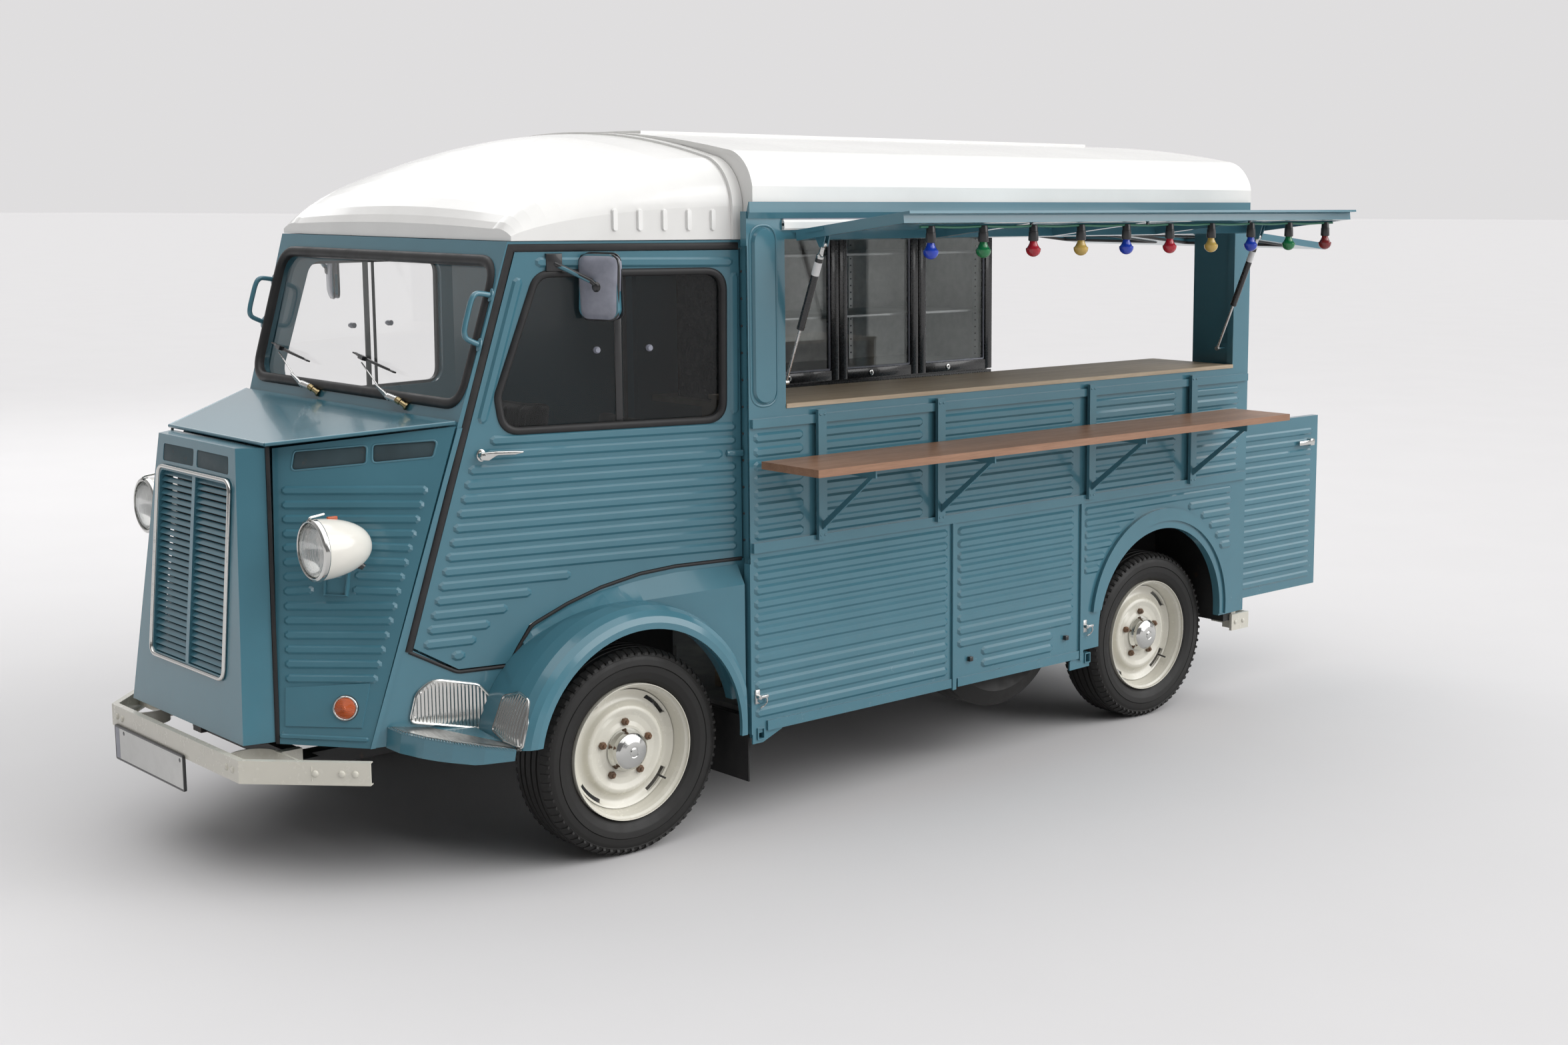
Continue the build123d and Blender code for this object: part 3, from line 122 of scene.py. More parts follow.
studio = {
    "floorSize": 400.0,
    "floorColour": (0.6, 0.592, 0.596),
    "backColour": (0.74, 0.73, 0.735),
    "ambient": 0.26,
    "brightWall": (-0.72, 0.62, 0.25),  # direction of the wall that the paint mirrors most
    "wallFade": (-0.5, 1.1),  # from full dark to full light towards that wall
    "suns": [  # direction it comes from, strength, softness in degrees
        ((0.1, 0.2, 0.97), 3.0, 110),
        ((0.75, 0.52, 0.4), 1.75, 50),
    ],
    "lamps": [  # place, aim, size, power
        ((-10.0, 2.6, 8.6), (0.0, 0.2, 0.6), 7.0, 270),
    ],
}


def makeStudio():
    bpy.ops.mesh.primitive_plane_add(size=studio["floorSize"])
    floor = bpy.context.object
    floor.name = "studioFloor"
    material, shader = startMaterial("studioFloor", studio["floorColour"], roughness=0.9,
        Specular_IOR_Level=0.0)
    grain = noiseOf(objectCoords(material), 1.3, detail=3)
    tone = [[channel * level for channel in studio["floorColour"]] for level in (0.994, 1.006)]
    connect(rampOf(grain, [(0.35, tone[0]), (0.65, tone[1])]), shader.inputs["Base Color"])
    floor.data.materials.append(material)
    for index, (place, aim, size, power) in enumerate(studio["lamps"]):
        data = bpy.data.lights.new("softbox%d" % index, "AREA")
        data.size = size
        data.energy = power
        data.shape = "SQUARE"
        lamp = added(data.name, data)
        lamp.visible_camera = False
        direction = Vector(aim) - Vector(place)
        lamp.matrix_world = shifted(place) @ direction.to_track_quat("-Z", "Y").to_matrix().to_4x4()
    for index, (direction, strength, softness) in enumerate(studio["suns"]):
        data = bpy.data.lights.new("ceilingLight%d" % index, "SUN")
        data.energy, data.angle = strength, radians(softness)
        lamp = added(data.name, data)
        lamp.matrix_world = Vector(direction).to_track_quat("Z", "Y").to_matrix().to_4x4()
    makeSky()


def makeSky():
    world = bpy.data.worlds.new("studioSky")
    world.use_nodes = True
    scene.world = world
    tree = world.node_tree
    tree.nodes.clear()
    output = tree.nodes.new("ShaderNodeOutputWorld")
    mixer = tree.nodes.new("ShaderNodeMixShader")
    rays = tree.nodes.new("ShaderNodeLightPath").outputs
    seen = mathOf("MAXIMUM", rays["Is Camera Ray"], rays["Is Transmission Ray"])
    coords = tree.nodes.new("ShaderNodeTexCoord")
    toward = tree.nodes.new("ShaderNodeVectorMath")
    toward.operation = "DOT_PRODUCT"
    toward.inputs[1].default_value = studio["brightWall"]
    connect(coords.outputs["Generated"], toward.inputs[0])
    fade = rangeOf(toward.outputs["Value"], 0.0, 1.0, *studio["wallFade"])
    share = mathOf("MAXIMUM", seen, mathOf("MULTIPLY", rays["Is Glossy Ray"], fade))
    for index, strength in enumerate((studio["ambient"], 1.0)):
        background = nodeOf(tree, "ShaderNodeBackground", Color=(*studio["backColour"], 1), Strength=strength)
        connect(background.outputs[0], mixer.inputs[index + 1])
    connect(share, mixer.inputs[0])
    connect(mixer.outputs[0], output.inputs[0])


# what every material is put together from
def startMaterial(name, colour, roughness=0.5, metallic=0.0, **sockets):
    material = bpy.data.materials.new(name)
    material.use_nodes = True
    shader = material.node_tree.nodes["Principled BSDF"]
    setInputs(shader, {"Base Color": (*colour, 1), "Roughness": roughness, "Metallic": metallic, **sockets})
    return material, shader


def objectCoords(material, scale=(1, 1, 1)):
    tree = material.node_tree
    coords = tree.nodes.new("ShaderNodeTexCoord")
    mapping = nodeOf(tree, "ShaderNodeMapping", Scale=scale)
    connect(coords.outputs["Object"], mapping.inputs["Vector"])
    return mapping.outputs["Vector"]


def noiseOf(vector, scale, detail=4.0, rough=0.55, twist=0.0):
    node = nodeOf(vector.id_data, "ShaderNodeTexNoise", Scale=scale, Detail=detail, Roughness=rough,
        Distortion=twist)
    connect(vector, node.inputs["Vector"])
    return node.outputs["Fac"]


def wavesOf(vector, scale, direction="X"):
    node = nodeOf(vector.id_data, "ShaderNodeTexWave", Scale=scale, Distortion=0.0)
    node.bands_direction = direction
    connect(vector, node.inputs["Vector"])
    return node.outputs["Fac"]


def cellsOf(vector, scale):
    node = nodeOf(vector.id_data, "ShaderNodeTexVoronoi", Scale=scale)
    connect(vector, node.inputs["Vector"])
    return node.outputs["Distance"]


def rampOf(value, stops):
    node = value.id_data.nodes.new("ShaderNodeValToRGB")
    while len(node.color_ramp.elements) < len(stops):
        node.color_ramp.elements.new(0.5)
    for element, (place, colour) in zip(node.color_ramp.elements, stops):
        element.position, element.color = place, (*colour, 1)
    connect(value, node.inputs["Fac"])
    return node.outputs["Color"]


def rangeOf(value, low, high, start=0.0, end=1.0):
    node = nodeOf(value.id_data, "ShaderNodeMapRange", From_Min=start, From_Max=end, To_Min=low, To_Max=high)
    connect(value, node.inputs["Value"])
    return node.outputs["Result"]


def fillSockets(sockets, values):
    for socket, value in zip(sockets, values):
        if isinstance(value, (int, float)):
            socket.default_value = value
        elif isinstance(value, tuple):
            socket.default_value = (*value, 1)
        else:
            connect(value, socket)


def blendOf(share, first, second):
    node = share.id_data.nodes.new("ShaderNodeMix")
    node.data_type = "RGBA"
    fillSockets([s for s in node.inputs if s.enabled], (share, first, second))
    return [s for s in node.outputs if s.enabled][0]


def mathOf(operation, first, second):
    node = first.id_data.nodes.new("ShaderNodeMath")
    node.operation = operation
    fillSockets(node.inputs, (first, second))
    return node.outputs[0]


def heightOf(material):
    tree = material.node_tree
    coords = tree.nodes.new("ShaderNodeTexCoord")
    split = tree.nodes.new("ShaderNodeSeparateXYZ")
    connect(coords.outputs["Object"], split.inputs[0])
    return split.outputs["Z"]


def addBump(shader, height, strength, distance):
    node = nodeOf(shader.id_data, "ShaderNodeBump", Strength=strength, Distance=distance)
    connect(height, node.inputs["Height"])
    connect(node.outputs["Normal"], shader.inputs["Normal"])


# finishes
paintTone = {"blue": (0.057, 0.17, 0.22), "white": (0.77, 0.765, 0.745), "cream": (0.6, 0.58, 0.505)}


def glossPaint(name, colour, wear=0.2, gloss=0.2, ripple=0.0012):
    material, shader = startMaterial(name, colour, roughness=gloss, Coat_Weight=0.35, Coat_Roughness=0.06)
    place = objectCoords(material)
    cloud = noiseOf(place, 1.7, detail=5)
    pale = tuple(min(1, c * 1.07 + 0.004) for c in colour)
    dark = tuple(c * 0.92 for c in colour)
    base = rampOf(cloud, [(0.3, dark), (0.7, pale)])
    dust = rangeOf(heightOf(material), 1.0, 0.0, 0.25, 0.95)  # road dust thins out with height
    speck = rangeOf(noiseOf(place, 23, detail=8, rough=0.7), 0.0, 1.0, 0.45, 0.75)
    share = mathOf("MULTIPLY", mathOf("MULTIPLY", dust, speck), wear)
    soiled = blendOf(share, base, tuple(c * 0.55 + 0.06 for c in colour))
    connect(soiled, shader.inputs["Base Color"])
    fine = noiseOf(place, 60, detail=3)
    smear = mathOf("ADD", rangeOf(fine, gloss * 0.85, gloss * 1.25), mathOf("MULTIPLY", share, 0.6))
    connect(smear, shader.inputs["Roughness"])
    addBump(shader, noiseOf(place, 9, detail=2), 0.12, ripple)  # sheet metal is never quite flat
    return material


def polishedMetal(name, colour=(0.62, 0.62, 0.6), roughness=0.12, pitting=0.25):
    material, shader = startMaterial(name, colour, roughness=roughness, metallic=1.0)
    place = objectCoords(material)
    spots = rangeOf(noiseOf(place, 55, detail=6, rough=0.7), 0.0, 1.0, 0.52, 0.72)
    share = mathOf("MULTIPLY", spots, pitting)
    connect(blendOf(share, colour, tuple(c * 0.45 for c in colour)), shader.inputs["Base Color"])
    connect(rangeOf(spots, roughness, roughness * 2.4), shader.inputs["Roughness"])
    return material


def rubberOf(name, colour=(0.018, 0.018, 0.019), roughness=0.62, dust=0.25):
    material, shader = startMaterial(name, colour, roughness=roughness, Specular_IOR_Level=0.35)
    place = objectCoords(material)
    cloud = rangeOf(noiseOf(place, 14, detail=7, rough=0.65), 0.0, 1.0, 0.42, 0.75)
    share = mathOf("MULTIPLY", cloud, dust)
    connect(blendOf(share, colour, (0.085, 0.08, 0.072)), shader.inputs["Base Color"])
    connect(rangeOf(cloud, roughness * 0.85, min(0.95, roughness * 1.2)), shader.inputs["Roughness"])
    addBump(shader, noiseOf(place, 240, detail=3), 0.25, 0.0006)
    return material


def glassOf(name, tint=(0.9, 0.93, 0.92), film=0.01, roughness=0.01, flutes=0):
    # a mirror as strong as glass is at each angle, over what shows through, with a thin film of dust
    material, shader = startMaterial(name, tint, roughness=roughness, metallic=1.0)
    facing = nodeOf(material.node_tree, "ShaderNodeLayerWeight", Blend=0.5)
    edge = rangeOf(mathOf("POWER", facing.outputs["Facing"], 5.0), 0.016, 0.95)
    smear = rangeOf(noiseOf(objectCoords(material), 3.0, detail=6), film * 0.4, film * 1.6)
    connect(mathOf("ADD", edge, smear), shader.inputs["Alpha"])
    connect(rangeOf(smear, roughness, roughness * 3), shader.inputs["Roughness"])
    if flutes:
        addBump(shader, wavesOf(objectCoords(material), flutes), 0.6, 0.003)
    return material


def paintedShadeGlass(name, shade=(0.4, 0.48)):
    # a dark, half opaque pane: painted shade that stands in for the dark cab behind it
    material, shader = startMaterial(name, (0.01, 0.011, 0.011), roughness=0.02)
    smear = rangeOf(noiseOf(objectCoords(material), 3.0, detail=6), *shade)
    connect(smear, shader.inputs["Alpha"])
    connect(rangeOf(smear, 0.01, 0.04, *shade), shader.inputs["Roughness"])
    return material


def woodOf(name, pale, dark, run="Y", grain=1.0, roughness=0.42):
    material, shader = startMaterial(name, pale, roughness=roughness)
    stretch = {"Y": (9, 0.5, 9), "X": (0.5, 9, 9)}[run]
    place = objectCoords(material, scale=stretch)
    figure = noiseOf(place, 2.6 * grain, detail=6, rough=0.6, twist=0.6)
    streaks = noiseOf(place, 22 * grain, detail=4, rough=0.7)
    base = rampOf(figure, [(0.32, dark), (0.52, tuple((a + b) / 2 for a, b in zip(pale, dark))), (0.7, pale)])
    share = rangeOf(streaks, 0.0, 0.45, 0.4, 0.75)
    connect(blendOf(share, base, tuple(c * 0.6 for c in dark)), shader.inputs["Base Color"])
    connect(rangeOf(streaks, roughness * 0.85, roughness * 1.25), shader.inputs["Roughness"])
    addBump(shader, streaks, 0.2, 0.0008)
    return material


def roughMetal(name, colour, roughness=0.55, rust=0.0, metallic=0.4):
    material, shader = startMaterial(name, colour, roughness=roughness, metallic=metallic)
    place = objectCoords(material)
    cloud = noiseOf(place, 18, detail=8, rough=0.7)
    share = rangeOf(cloud, 0.0, 1.0, 0.62 - rust * 0.35, 0.72)
    base = rampOf(noiseOf(place, 6, detail=4), [(0.3, tuple(c * 0.8 for c in colour)),
        (0.7, tuple(c * 1.2 for c in colour))])
    connect(blendOf(mathOf("MULTIPLY", share, 0.25 + rust * 0.75), base, (0.19, 0.085, 0.035)),
        shader.inputs["Base Color"])
    connect(rangeOf(cloud, roughness * 0.8, min(0.98, roughness * 1.3)), shader.inputs["Roughness"])
    addBump(shader, cloud, 0.3, 0.001)
    return material


def vinylOf(name, colour=(0.02, 0.02, 0.021)):
    material, shader = startMaterial(name, colour, roughness=0.42, Sheen_Weight=0.1)
    place = objectCoords(material)
    cells = cellsOf(place, 420)
    worn = rangeOf(noiseOf(place, 8, detail=5), 0.0, 1.0, 0.5, 0.8)
    connect(blendOf(worn, colour, tuple(c * 2.2 + 0.01 for c in colour)), shader.inputs["Base Color"])
    connect(rangeOf(worn, 0.36, 0.52), shader.inputs["Roughness"])
    addBump(shader, cells, 0.35, 0.0006)
    return material


def tintedPlastic(name, colour, roughness=0.18, clear=0.0):
    material, shader = startMaterial(name, colour, roughness=roughness, Transmission_Weight=clear,
        Coat_Weight=0.3)
    place = objectCoords(material)
    cloud = noiseOf(place, 30, detail=4)
    connect(rampOf(cloud, [(0.3, tuple(c * 0.85 for c in colour)),
        (0.7, tuple(min(1, c * 1.1) for c in colour))]),
            shader.inputs["Base Color"])
    addBump(shader, cloud, 0.08, 0.0006)
    return material


def lampGlass(name, colour, flutes, direction="X", clear=0.75):
    material, shader = startMaterial(name, colour, roughness=0.06, Transmission_Weight=clear, IOR=1.45,
        Coat_Weight=0.5)
    place = objectCoords(material)
    ridges = wavesOf(place, flutes, direction)
    addBump(shader, ridges, 0.55, 0.003)
    smear = noiseOf(place, 20, detail=4)
    connect(rampOf(smear, [(0.3, tuple(c * 0.9 for c in colour)), (0.7, colour)]),
        shader.inputs["Base Color"])
    return material


def treadPlate(name):
    material, shader = startMaterial(name, (0.58, 0.58, 0.57), roughness=0.34, metallic=1.0)
    place = objectCoords(material)
    scuffs = noiseOf(objectCoords(material, scale=(1, 9, 1)), 30, detail=6, rough=0.7)
    connect(rampOf(scuffs, [(0.35, (0.36, 0.36, 0.35)), (0.65, (0.66, 0.66, 0.65))]),
        shader.inputs["Base Color"])
    connect(rangeOf(scuffs, 0.24, 0.5), shader.inputs["Roughness"])
    addBump(shader, noiseOf(place, 90, detail=3), 0.15, 0.0006)
    return material


def floorPaint(name):
    material, shader = startMaterial(name, (0.2, 0.205, 0.205), roughness=0.55)
    place = objectCoords(material)
    worn = rangeOf(noiseOf(place, 5, detail=8, rough=0.7), 0.0, 1.0, 0.45, 0.7)
    connect(blendOf(worn, (0.17, 0.175, 0.175), (0.3, 0.3, 0.29)), shader.inputs["Base Color"])
    addBump(shader, cellsOf(place, 38), 0.3, 0.002)
    return material


finish = {
    "blue": glossPaint("bluePaint", paintTone["blue"]),
    "white": glossPaint("roofPaint", paintTone["white"], wear=0.0, gloss=0.22),
    "cream": glossPaint("creamPaint", paintTone["cream"], wear=0.08, gloss=0.24),
    "lampCream": glossPaint("lampPaint", (0.74, 0.72, 0.66), wear=0.02, gloss=0.16),
    "chrome": polishedMetal("chromePlate", pitting=0.1),
    "steel": polishedMetal("polishedSteel", (0.55, 0.55, 0.54), roughness=0.25),
    "tread": treadPlate("aluminiumPlate"),
    "seal": rubberOf("doorSeal", roughness=0.5, dust=0.12),
    "tyre": rubberOf("tyreRubber", (0.011, 0.0105, 0.01), roughness=0.6, dust=0.06),
    "flap": rubberOf("flapRubber", roughness=0.75, dust=0.35),
    "glass": glassOf("clearPane"),
    # painted shade on the left door's pane, for the dark cab behind it
    "doorGlassPaintedShade": paintedShadeGlass("doorPane"),
    "coolerGlass": glassOf("coolerPane", (0.75, 0.8, 0.78), film=0.06),
    "shelfWood": woodOf("shelfBoard", (0.35, 0.19, 0.115), (0.23, 0.115, 0.062)),
    "paleWood": woodOf("counterBoard", (0.48, 0.39, 0.28), (0.34, 0.255, 0.165)),
    "chassis": roughMetal("chassisBlack", (0.022, 0.022, 0.022), roughness=0.5, rust=0.1, metallic=0.0),
    "iron": roughMetal("castIron", (0.11, 0.108, 0.1), rust=0.25),
    "rust": roughMetal("rustyNut", (0.16, 0.12, 0.09), roughness=0.6, rust=0.9),
    "forged": roughMetal("forgedSteel", (0.09, 0.088, 0.085), rust=0.2),
    "black": tintedPlastic("blackPlastic", (0.014, 0.014, 0.015), roughness=0.32),
    "gloss": glossPaint("blackEnamel", (0.01, 0.01, 0.011), wear=0.0, gloss=0.26, ripple=0.0002),
    "grey": tintedPlastic("greyPlastic", (0.24, 0.25, 0.3), roughness=0.4),
    "vinyl": vinylOf("ribbedVinyl"),
    "trim": rubberOf("dashTrim", (0.03, 0.03, 0.032), roughness=0.55, dust=0.1),
    "lens": glassOf("headlampGlass", film=0.16, roughness=0.03, flutes=55),
    "amber": lampGlass("amberGlass", (0.6, 0.1, 0.01), 90, direction="Z", clear=0.15),
    "red": lampGlass("redGlass", (0.6, 0.02, 0.015), 90, direction="Z", clear=0.35),
    "bulbBlue": tintedPlastic("bulbBlue", (0.012, 0.055, 0.52), clear=0.25),
    "bulbGreen": tintedPlastic("bulbGreen", (0.008, 0.2, 0.06), clear=0.25),
    "bulbRed": tintedPlastic("bulbRed", (0.5, 0.012, 0.03), clear=0.25),
    "bulbYellow": tintedPlastic("bulbYellow", (0.62, 0.42, 0.1), clear=0.25),
    "bulbMaroon": tintedPlastic("bulbMaroon", (0.24, 0.02, 0.02), clear=0.25),
    "cable": tintedPlastic("greenCable", (0.02, 0.16, 0.09), roughness=0.45),
    "galvanised": roughMetal("galvanisedSteel", (0.42, 0.43, 0.43), roughness=0.45, metallic=0.8),
    "liner": tintedPlastic("coolerLiner", (0.4, 0.4, 0.385), roughness=0.5),
    "mirror": polishedMetal("silveredGlass", (0.8, 0.81, 0.82), roughness=0.02, pitting=0.05),
    "brass": polishedMetal("dullBrass", (0.42, 0.33, 0.18), roughness=0.3),
    "floor": floorPaint("floorPaint"),
    # the vent sheets: the vent mesh in a dark copy of the body's blue, darkened as painted shade for the
    # openings
    "mesh": roughMetal("ventMesh", (0.03, 0.055, 0.065), roughness=0.6, metallic=0.0),
    "plate": glossPaint("blankPlate", (0.62, 0.62, 0.6), wear=0.2, gloss=0.35),
    "label": glossPaint("blankLabel", (0.7, 0.7, 0.7), wear=0.1, gloss=0.4),
}
slotFinish = {
    "body_blue": "blue", "roof_white": "white", "cream_paint": "cream", "floor_grey": "floor",
    "chassis_black": "chassis",
    "chassis_steel": "forged", "engine_iron": "iron", "clear_glass": "glass", "lamp_glass": "lens",
    "pale_wood": "paleWood",
    "shelf_wood": "shelfWood", "cooler_black": "gloss", "seat_vinyl": "vinyl", "dash_black": "trim",
    "tyre_rubber": "tyre",
    "flap_rubber": "flap", "bulb_plastic": "black", "strut_black": "gloss", "strut_steel": "steel",
}


pieceSlot = {
    "blue": "body_blue", "mesh": "body_blue", "white": "roof_white", "cream": "cream_paint",
    "lampCream": "cream_paint", "plate": "cream_paint", "label": "cream_paint",
    "chrome": "strut_steel", "steel": "strut_steel", "tread": "strut_steel", "galvanised": "strut_steel",
    "rust": "chassis_steel",
    "forged": "chassis_steel", "iron": "engine_iron", "chassis": "chassis_black", "seal": "dash_black",
    "trim": "dash_black",
    "black": "dash_black", "grey": "dash_black", "vinyl": "seat_vinyl", "tyre": "tyre_rubber",
    "flap": "flap_rubber", "glass": "clear_glass",
    "coolerGlass": "clear_glass", "mirror": "strut_steel", "lens": "lamp_glass", "amber": "lamp_glass",
    "red": "lamp_glass",
    "gloss": "cooler_black", "shelfWood": "shelf_wood", "paleWood": "pale_wood", "floor": "floor_grey",
    "brass": "strut_steel",
    "liner": "cooler_black", "cable": "bulb_plastic", "bulbBlue": "bulb_plastic", "bulbGreen": "bulb_plastic",
    "bulbRed": "bulb_plastic",
    "bulbYellow": "bulb_plastic", "bulbMaroon": "bulb_plastic",
}


def dressNodes():
    for part in frame["record"]["subparts"]:
        node = nodes[part["node"]]
        # the left door's pane carries painted shade for the dark cab behind it
        look = "doorGlassPaintedShade" if part["node"] == "door_glass_left" else slotFinish[part["material_slot"]]
        for index in range(len(node.data.materials)):
            node.data.materials[index] = finish[look]


# mesh helpers
def meshFrom(shape, name):
    mesh = bpy.data.meshes.new(name)
    shape.to_mesh(mesh)
    shape.free()
    return mesh


def settled(holder):
    # the mesh that an object has after its modifiers
    return bpy.data.meshes.new_from_object(holder.evaluated_get(bpy.context.evaluated_depsgraph_get()))


def meshPiece(name, points, faces, material, body, smooth=None):
    mesh = bpy.data.meshes.new(name)
    mesh.from_pydata([tuple(p) for p in points], [], faces)
    return placed(name, mesh, material, body, smooth)


def placed(name, mesh, material, body, smooth=None):
    if not isinstance(material, (list, tuple)):
        mesh.materials.clear()
        mesh.materials.append(finish[material])
    piece = added(name, mesh)
    if smooth is not None:
        softenEdges(mesh, smooth)
    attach(piece, body)
    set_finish(piece, pieceSlot[material])
    return piece


def softenEdges(mesh, angle):
    mesh.shade_smooth()
    shape = bmesh.new()
    shape.from_mesh(mesh)
    limit = radians(angle)
    for edge in shape.edges:
        if len(edge.link_faces) == 2:
            edge.smooth = edge.calc_face_angle(0) < limit
    shape.to_mesh(mesh)
    shape.free()


def tidied(mesh, gap=0.00001):
    shape = bmesh.new()
    shape.from_mesh(mesh)
    bmesh.ops.remove_doubles(shape, verts=shape.verts, dist=gap)
    bmesh.ops.recalc_face_normals(shape, faces=shape.faces)
    shape.to_mesh(mesh)
    shape.free()
    return mesh


def roundedPath(corners, closed=False, steps=5):
    # a corner is (along, out) or (along, out, radius); one with a radius becomes an arc of steps + 1 points
    path = []
    count = len(corners)
    for index, corner in enumerate(corners):
        here = Vector(corner[:2])
        radius = corner[2] if len(corner) > 2 else 0
        if not radius or (not closed and index in (0, count - 1)):
            path.append(here)
            continue
        before = (Vector(corners[index - 1][:2]) - here)
        after = (Vector(corners[(index + 1) % count][:2]) - here)
        angle = before.angle(after)
        reach = min(radius / tan(angle / 2), before.length * 0.49, after.length * 0.49)
        start, end = here + before.normalized() * reach, here + after.normalized() * reach
        for step in range(steps + 1):
            t = step / steps
            path.append((1 - t) ** 2 * start + 2 * t * (1 - t) * here + t ** 2 * end)
    return path


def revolvedMesh(name, profile, segments=96, axis="X", closed=False, place=(0, 0, 0)):
    # profile is a list of (along the axis, radius); a radius of 0 makes a pole
    points, faces, rings = [], [], []
    for along, radius in profile:
        if radius < 1e-6:
            rings.append([len(points)])
            points.append(turned(along, 0, 0, axis))
            continue
        rings.append(list(range(len(points), len(points) + segments)))
        for step in range(segments):
            points.append(turned(along, radius, 2 * pi * step / segments, axis))
    pairs = list(zip(rings, rings[1:])) + ([(rings[-1], rings[0])] if closed else [])
    for first, second in pairs:
        for step in range(segments):
            a, b = first[step % len(first)], first[(step + 1) % len(first)]
            c, d = second[(step + 1) % len(second)], second[step % len(second)]
            corner = [v for k, v in enumerate((a, b, c, d)) if v not in (a, b, c, d)[:k]]
            if len(corner) > 2:
                faces.append(corner)
    mesh = bpy.data.meshes.new(name)
    mesh.from_pydata([Vector(p) + Vector(place) for p in points], [], faces)
    return tidied(mesh)


def turned(along, radius, angle, axis):
    a, b = radius * cos(angle), radius * sin(angle)
    return {"X": (along, a, b), "Y": (b, along, a), "Z": (a, b, along)}[axis]


def revolved(name, profile, material, body, segments=96, axis="X", closed=False, place=(0, 0, 0), smooth=35,
    at=None):
    mesh = revolvedMesh(name, profile, segments, axis, closed, place)
    if at is not None:
        mesh.transform(at)
    return placed(name, mesh, material, body, smooth)


def sheetMesh(name, outline, depth, rim=0.0, at=None, steps=2):
    # outline in a plane's own x and y, thickened from 0 down to -depth, with its top edge rounded by rim
    shape = bmesh.new()
    top = [shape.verts.new((p[0], p[1], 0)) for p in outline]
    face = shape.faces.new(top)
    if face.normal.z < 0 or signedArea(outline) < 0:
        face.normal_flip()
    made = bmesh.ops.extrude_face_region(shape, geom=[face])
    low = [v for v in made["geom"] if isinstance(v, bmesh.types.BMVert)]
    bmesh.ops.translate(shape, verts=low, vec=(0, 0, -depth))
    bmesh.ops.recalc_face_normals(shape, faces=shape.faces)
    if rim:
        edges = [e for e in shape.edges if all(abs(v.co.z) < 1e-7 for v in e.verts)]
        bmesh.ops.bevel(shape, geom=edges, offset=rim, segments=steps, profile=0.5, affect="EDGES")
    mesh = meshFrom(shape, name)
    if at is not None:
        mesh.transform(at)
    return mesh


def signedArea(outline):
    return sum(a[0] * b[1] - b[0] * a[1] for a, b in zip(outline, list(outline[1:]) + [outline[0]]))


def sheetPiece(name, outline, depth, material, body, rim=0.001, at=None, smooth=30):
    return placed(name, sheetMesh(name, outline, depth, rim, at), material, body, smooth)


def boxMesh(name, low, high, rim=0.0, steps=2):
    shape = bmesh.new()
    bmesh.ops.create_cube(shape, size=1)
    size = Vector(high) - Vector(low)
    bmesh.ops.scale(shape, verts=shape.verts, vec=size)
    bmesh.ops.translate(shape, verts=shape.verts, vec=(Vector(high) + Vector(low)) / 2)
    if rim:
        bmesh.ops.bevel(shape, geom=shape.edges[:], offset=min(rim, min(size) * 0.45), segments=steps,
            profile=0.5, affect="EDGES")
    return meshFrom(shape, name)


def tubeMesh(name, points, radius, closed=False, sides=10, order=3, resolution=8):
    # a round bar along a smooth line, or along straight pieces when order is 2
    curve = bpy.data.curves.new(name, "CURVE")
    curve.dimensions = "3D"
    curve.resolution_u = resolution
    spline = curve.splines.new("NURBS" if order > 2 else "POLY")
    spline.points.add(len(points) - 1)
    for point, place in zip(spline.points, points):
        point.co = (*place, 1)
    if order > 2:
        spline.order_u = order
        spline.use_endpoint_u = not closed
    spline.use_cyclic_u = closed
    curve.bevel_depth = radius
    curve.bevel_resolution = max(1, sides // 4)
    curve.use_fill_caps = True
    holder = added(name, curve)
    bpy.context.view_layer.update()
    mesh = settled(holder)
    bpy.data.objects.remove(holder)
    return mesh


def tubePiece(name, points, radius, material, body, **options):
    return placed(name, tubeMesh(name, points, radius, **options), material, body, 40)


def joined(name, meshes, material, body, smooth=None):
    shape = bmesh.new()
    for mesh in meshes:
        shape.from_mesh(mesh)
    return placed(name, meshFrom(shape, name), material, body, smooth)


def mirroredPiece(piece, name, body):
    mesh = piece.data.copy()
    mesh.transform(mirror)
    mesh.flip_normals()
    twin = added(name, mesh)
    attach(twin, body)
    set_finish(twin, piece["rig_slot"])
    return twin


def bothSides(piece, body=None):
    name = piece.name
    piece.name = name + "Left"
    return [piece, mirroredPiece(piece, name + "Right", body or piece["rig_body"])]


def planeFrame(origin, along, other):
    # a plane through three points: x runs from origin to along, z points out of the body
    origin, along, other = Vector(origin), Vector(along), Vector(other)
    xAxis = (along - origin).normalized()
    zAxis = xAxis.cross(other - origin).normalized()
    yAxis = zAxis.cross(xAxis)
    turn = Matrix((xAxis, yAxis, zAxis)).transposed().to_4x4()
    return shifted(origin) @ turn


def barFrame(start, end):
    start, end = Vector(start), Vector(end)
    turn = (end - start).to_track_quat("Z", "Y").to_matrix().to_4x4()
    return shifted(start) @ turn


# Geometry Nodes: a small shape repeated on points, and beads pressed along lines
def makeTree(name, sockets):
    tree = bpy.data.node_groups.new(name, "GeometryNodeTree")
    tree.interface.new_socket("Geometry", in_out="INPUT", socket_type="NodeSocketGeometry")
    for label, kind in sockets:
        tree.interface.new_socket(label, in_out="INPUT", socket_type=kind)
    tree.interface.new_socket("Geometry", in_out="OUTPUT", socket_type="NodeSocketGeometry")
    return tree, tree.nodes.new("NodeGroupInput"), tree.nodes.new("NodeGroupOutput")


def socketId(tree, label):
    return next(item.identifier for item in tree.interface.items_tree if item.name == label
        and item.in_out == "INPUT")


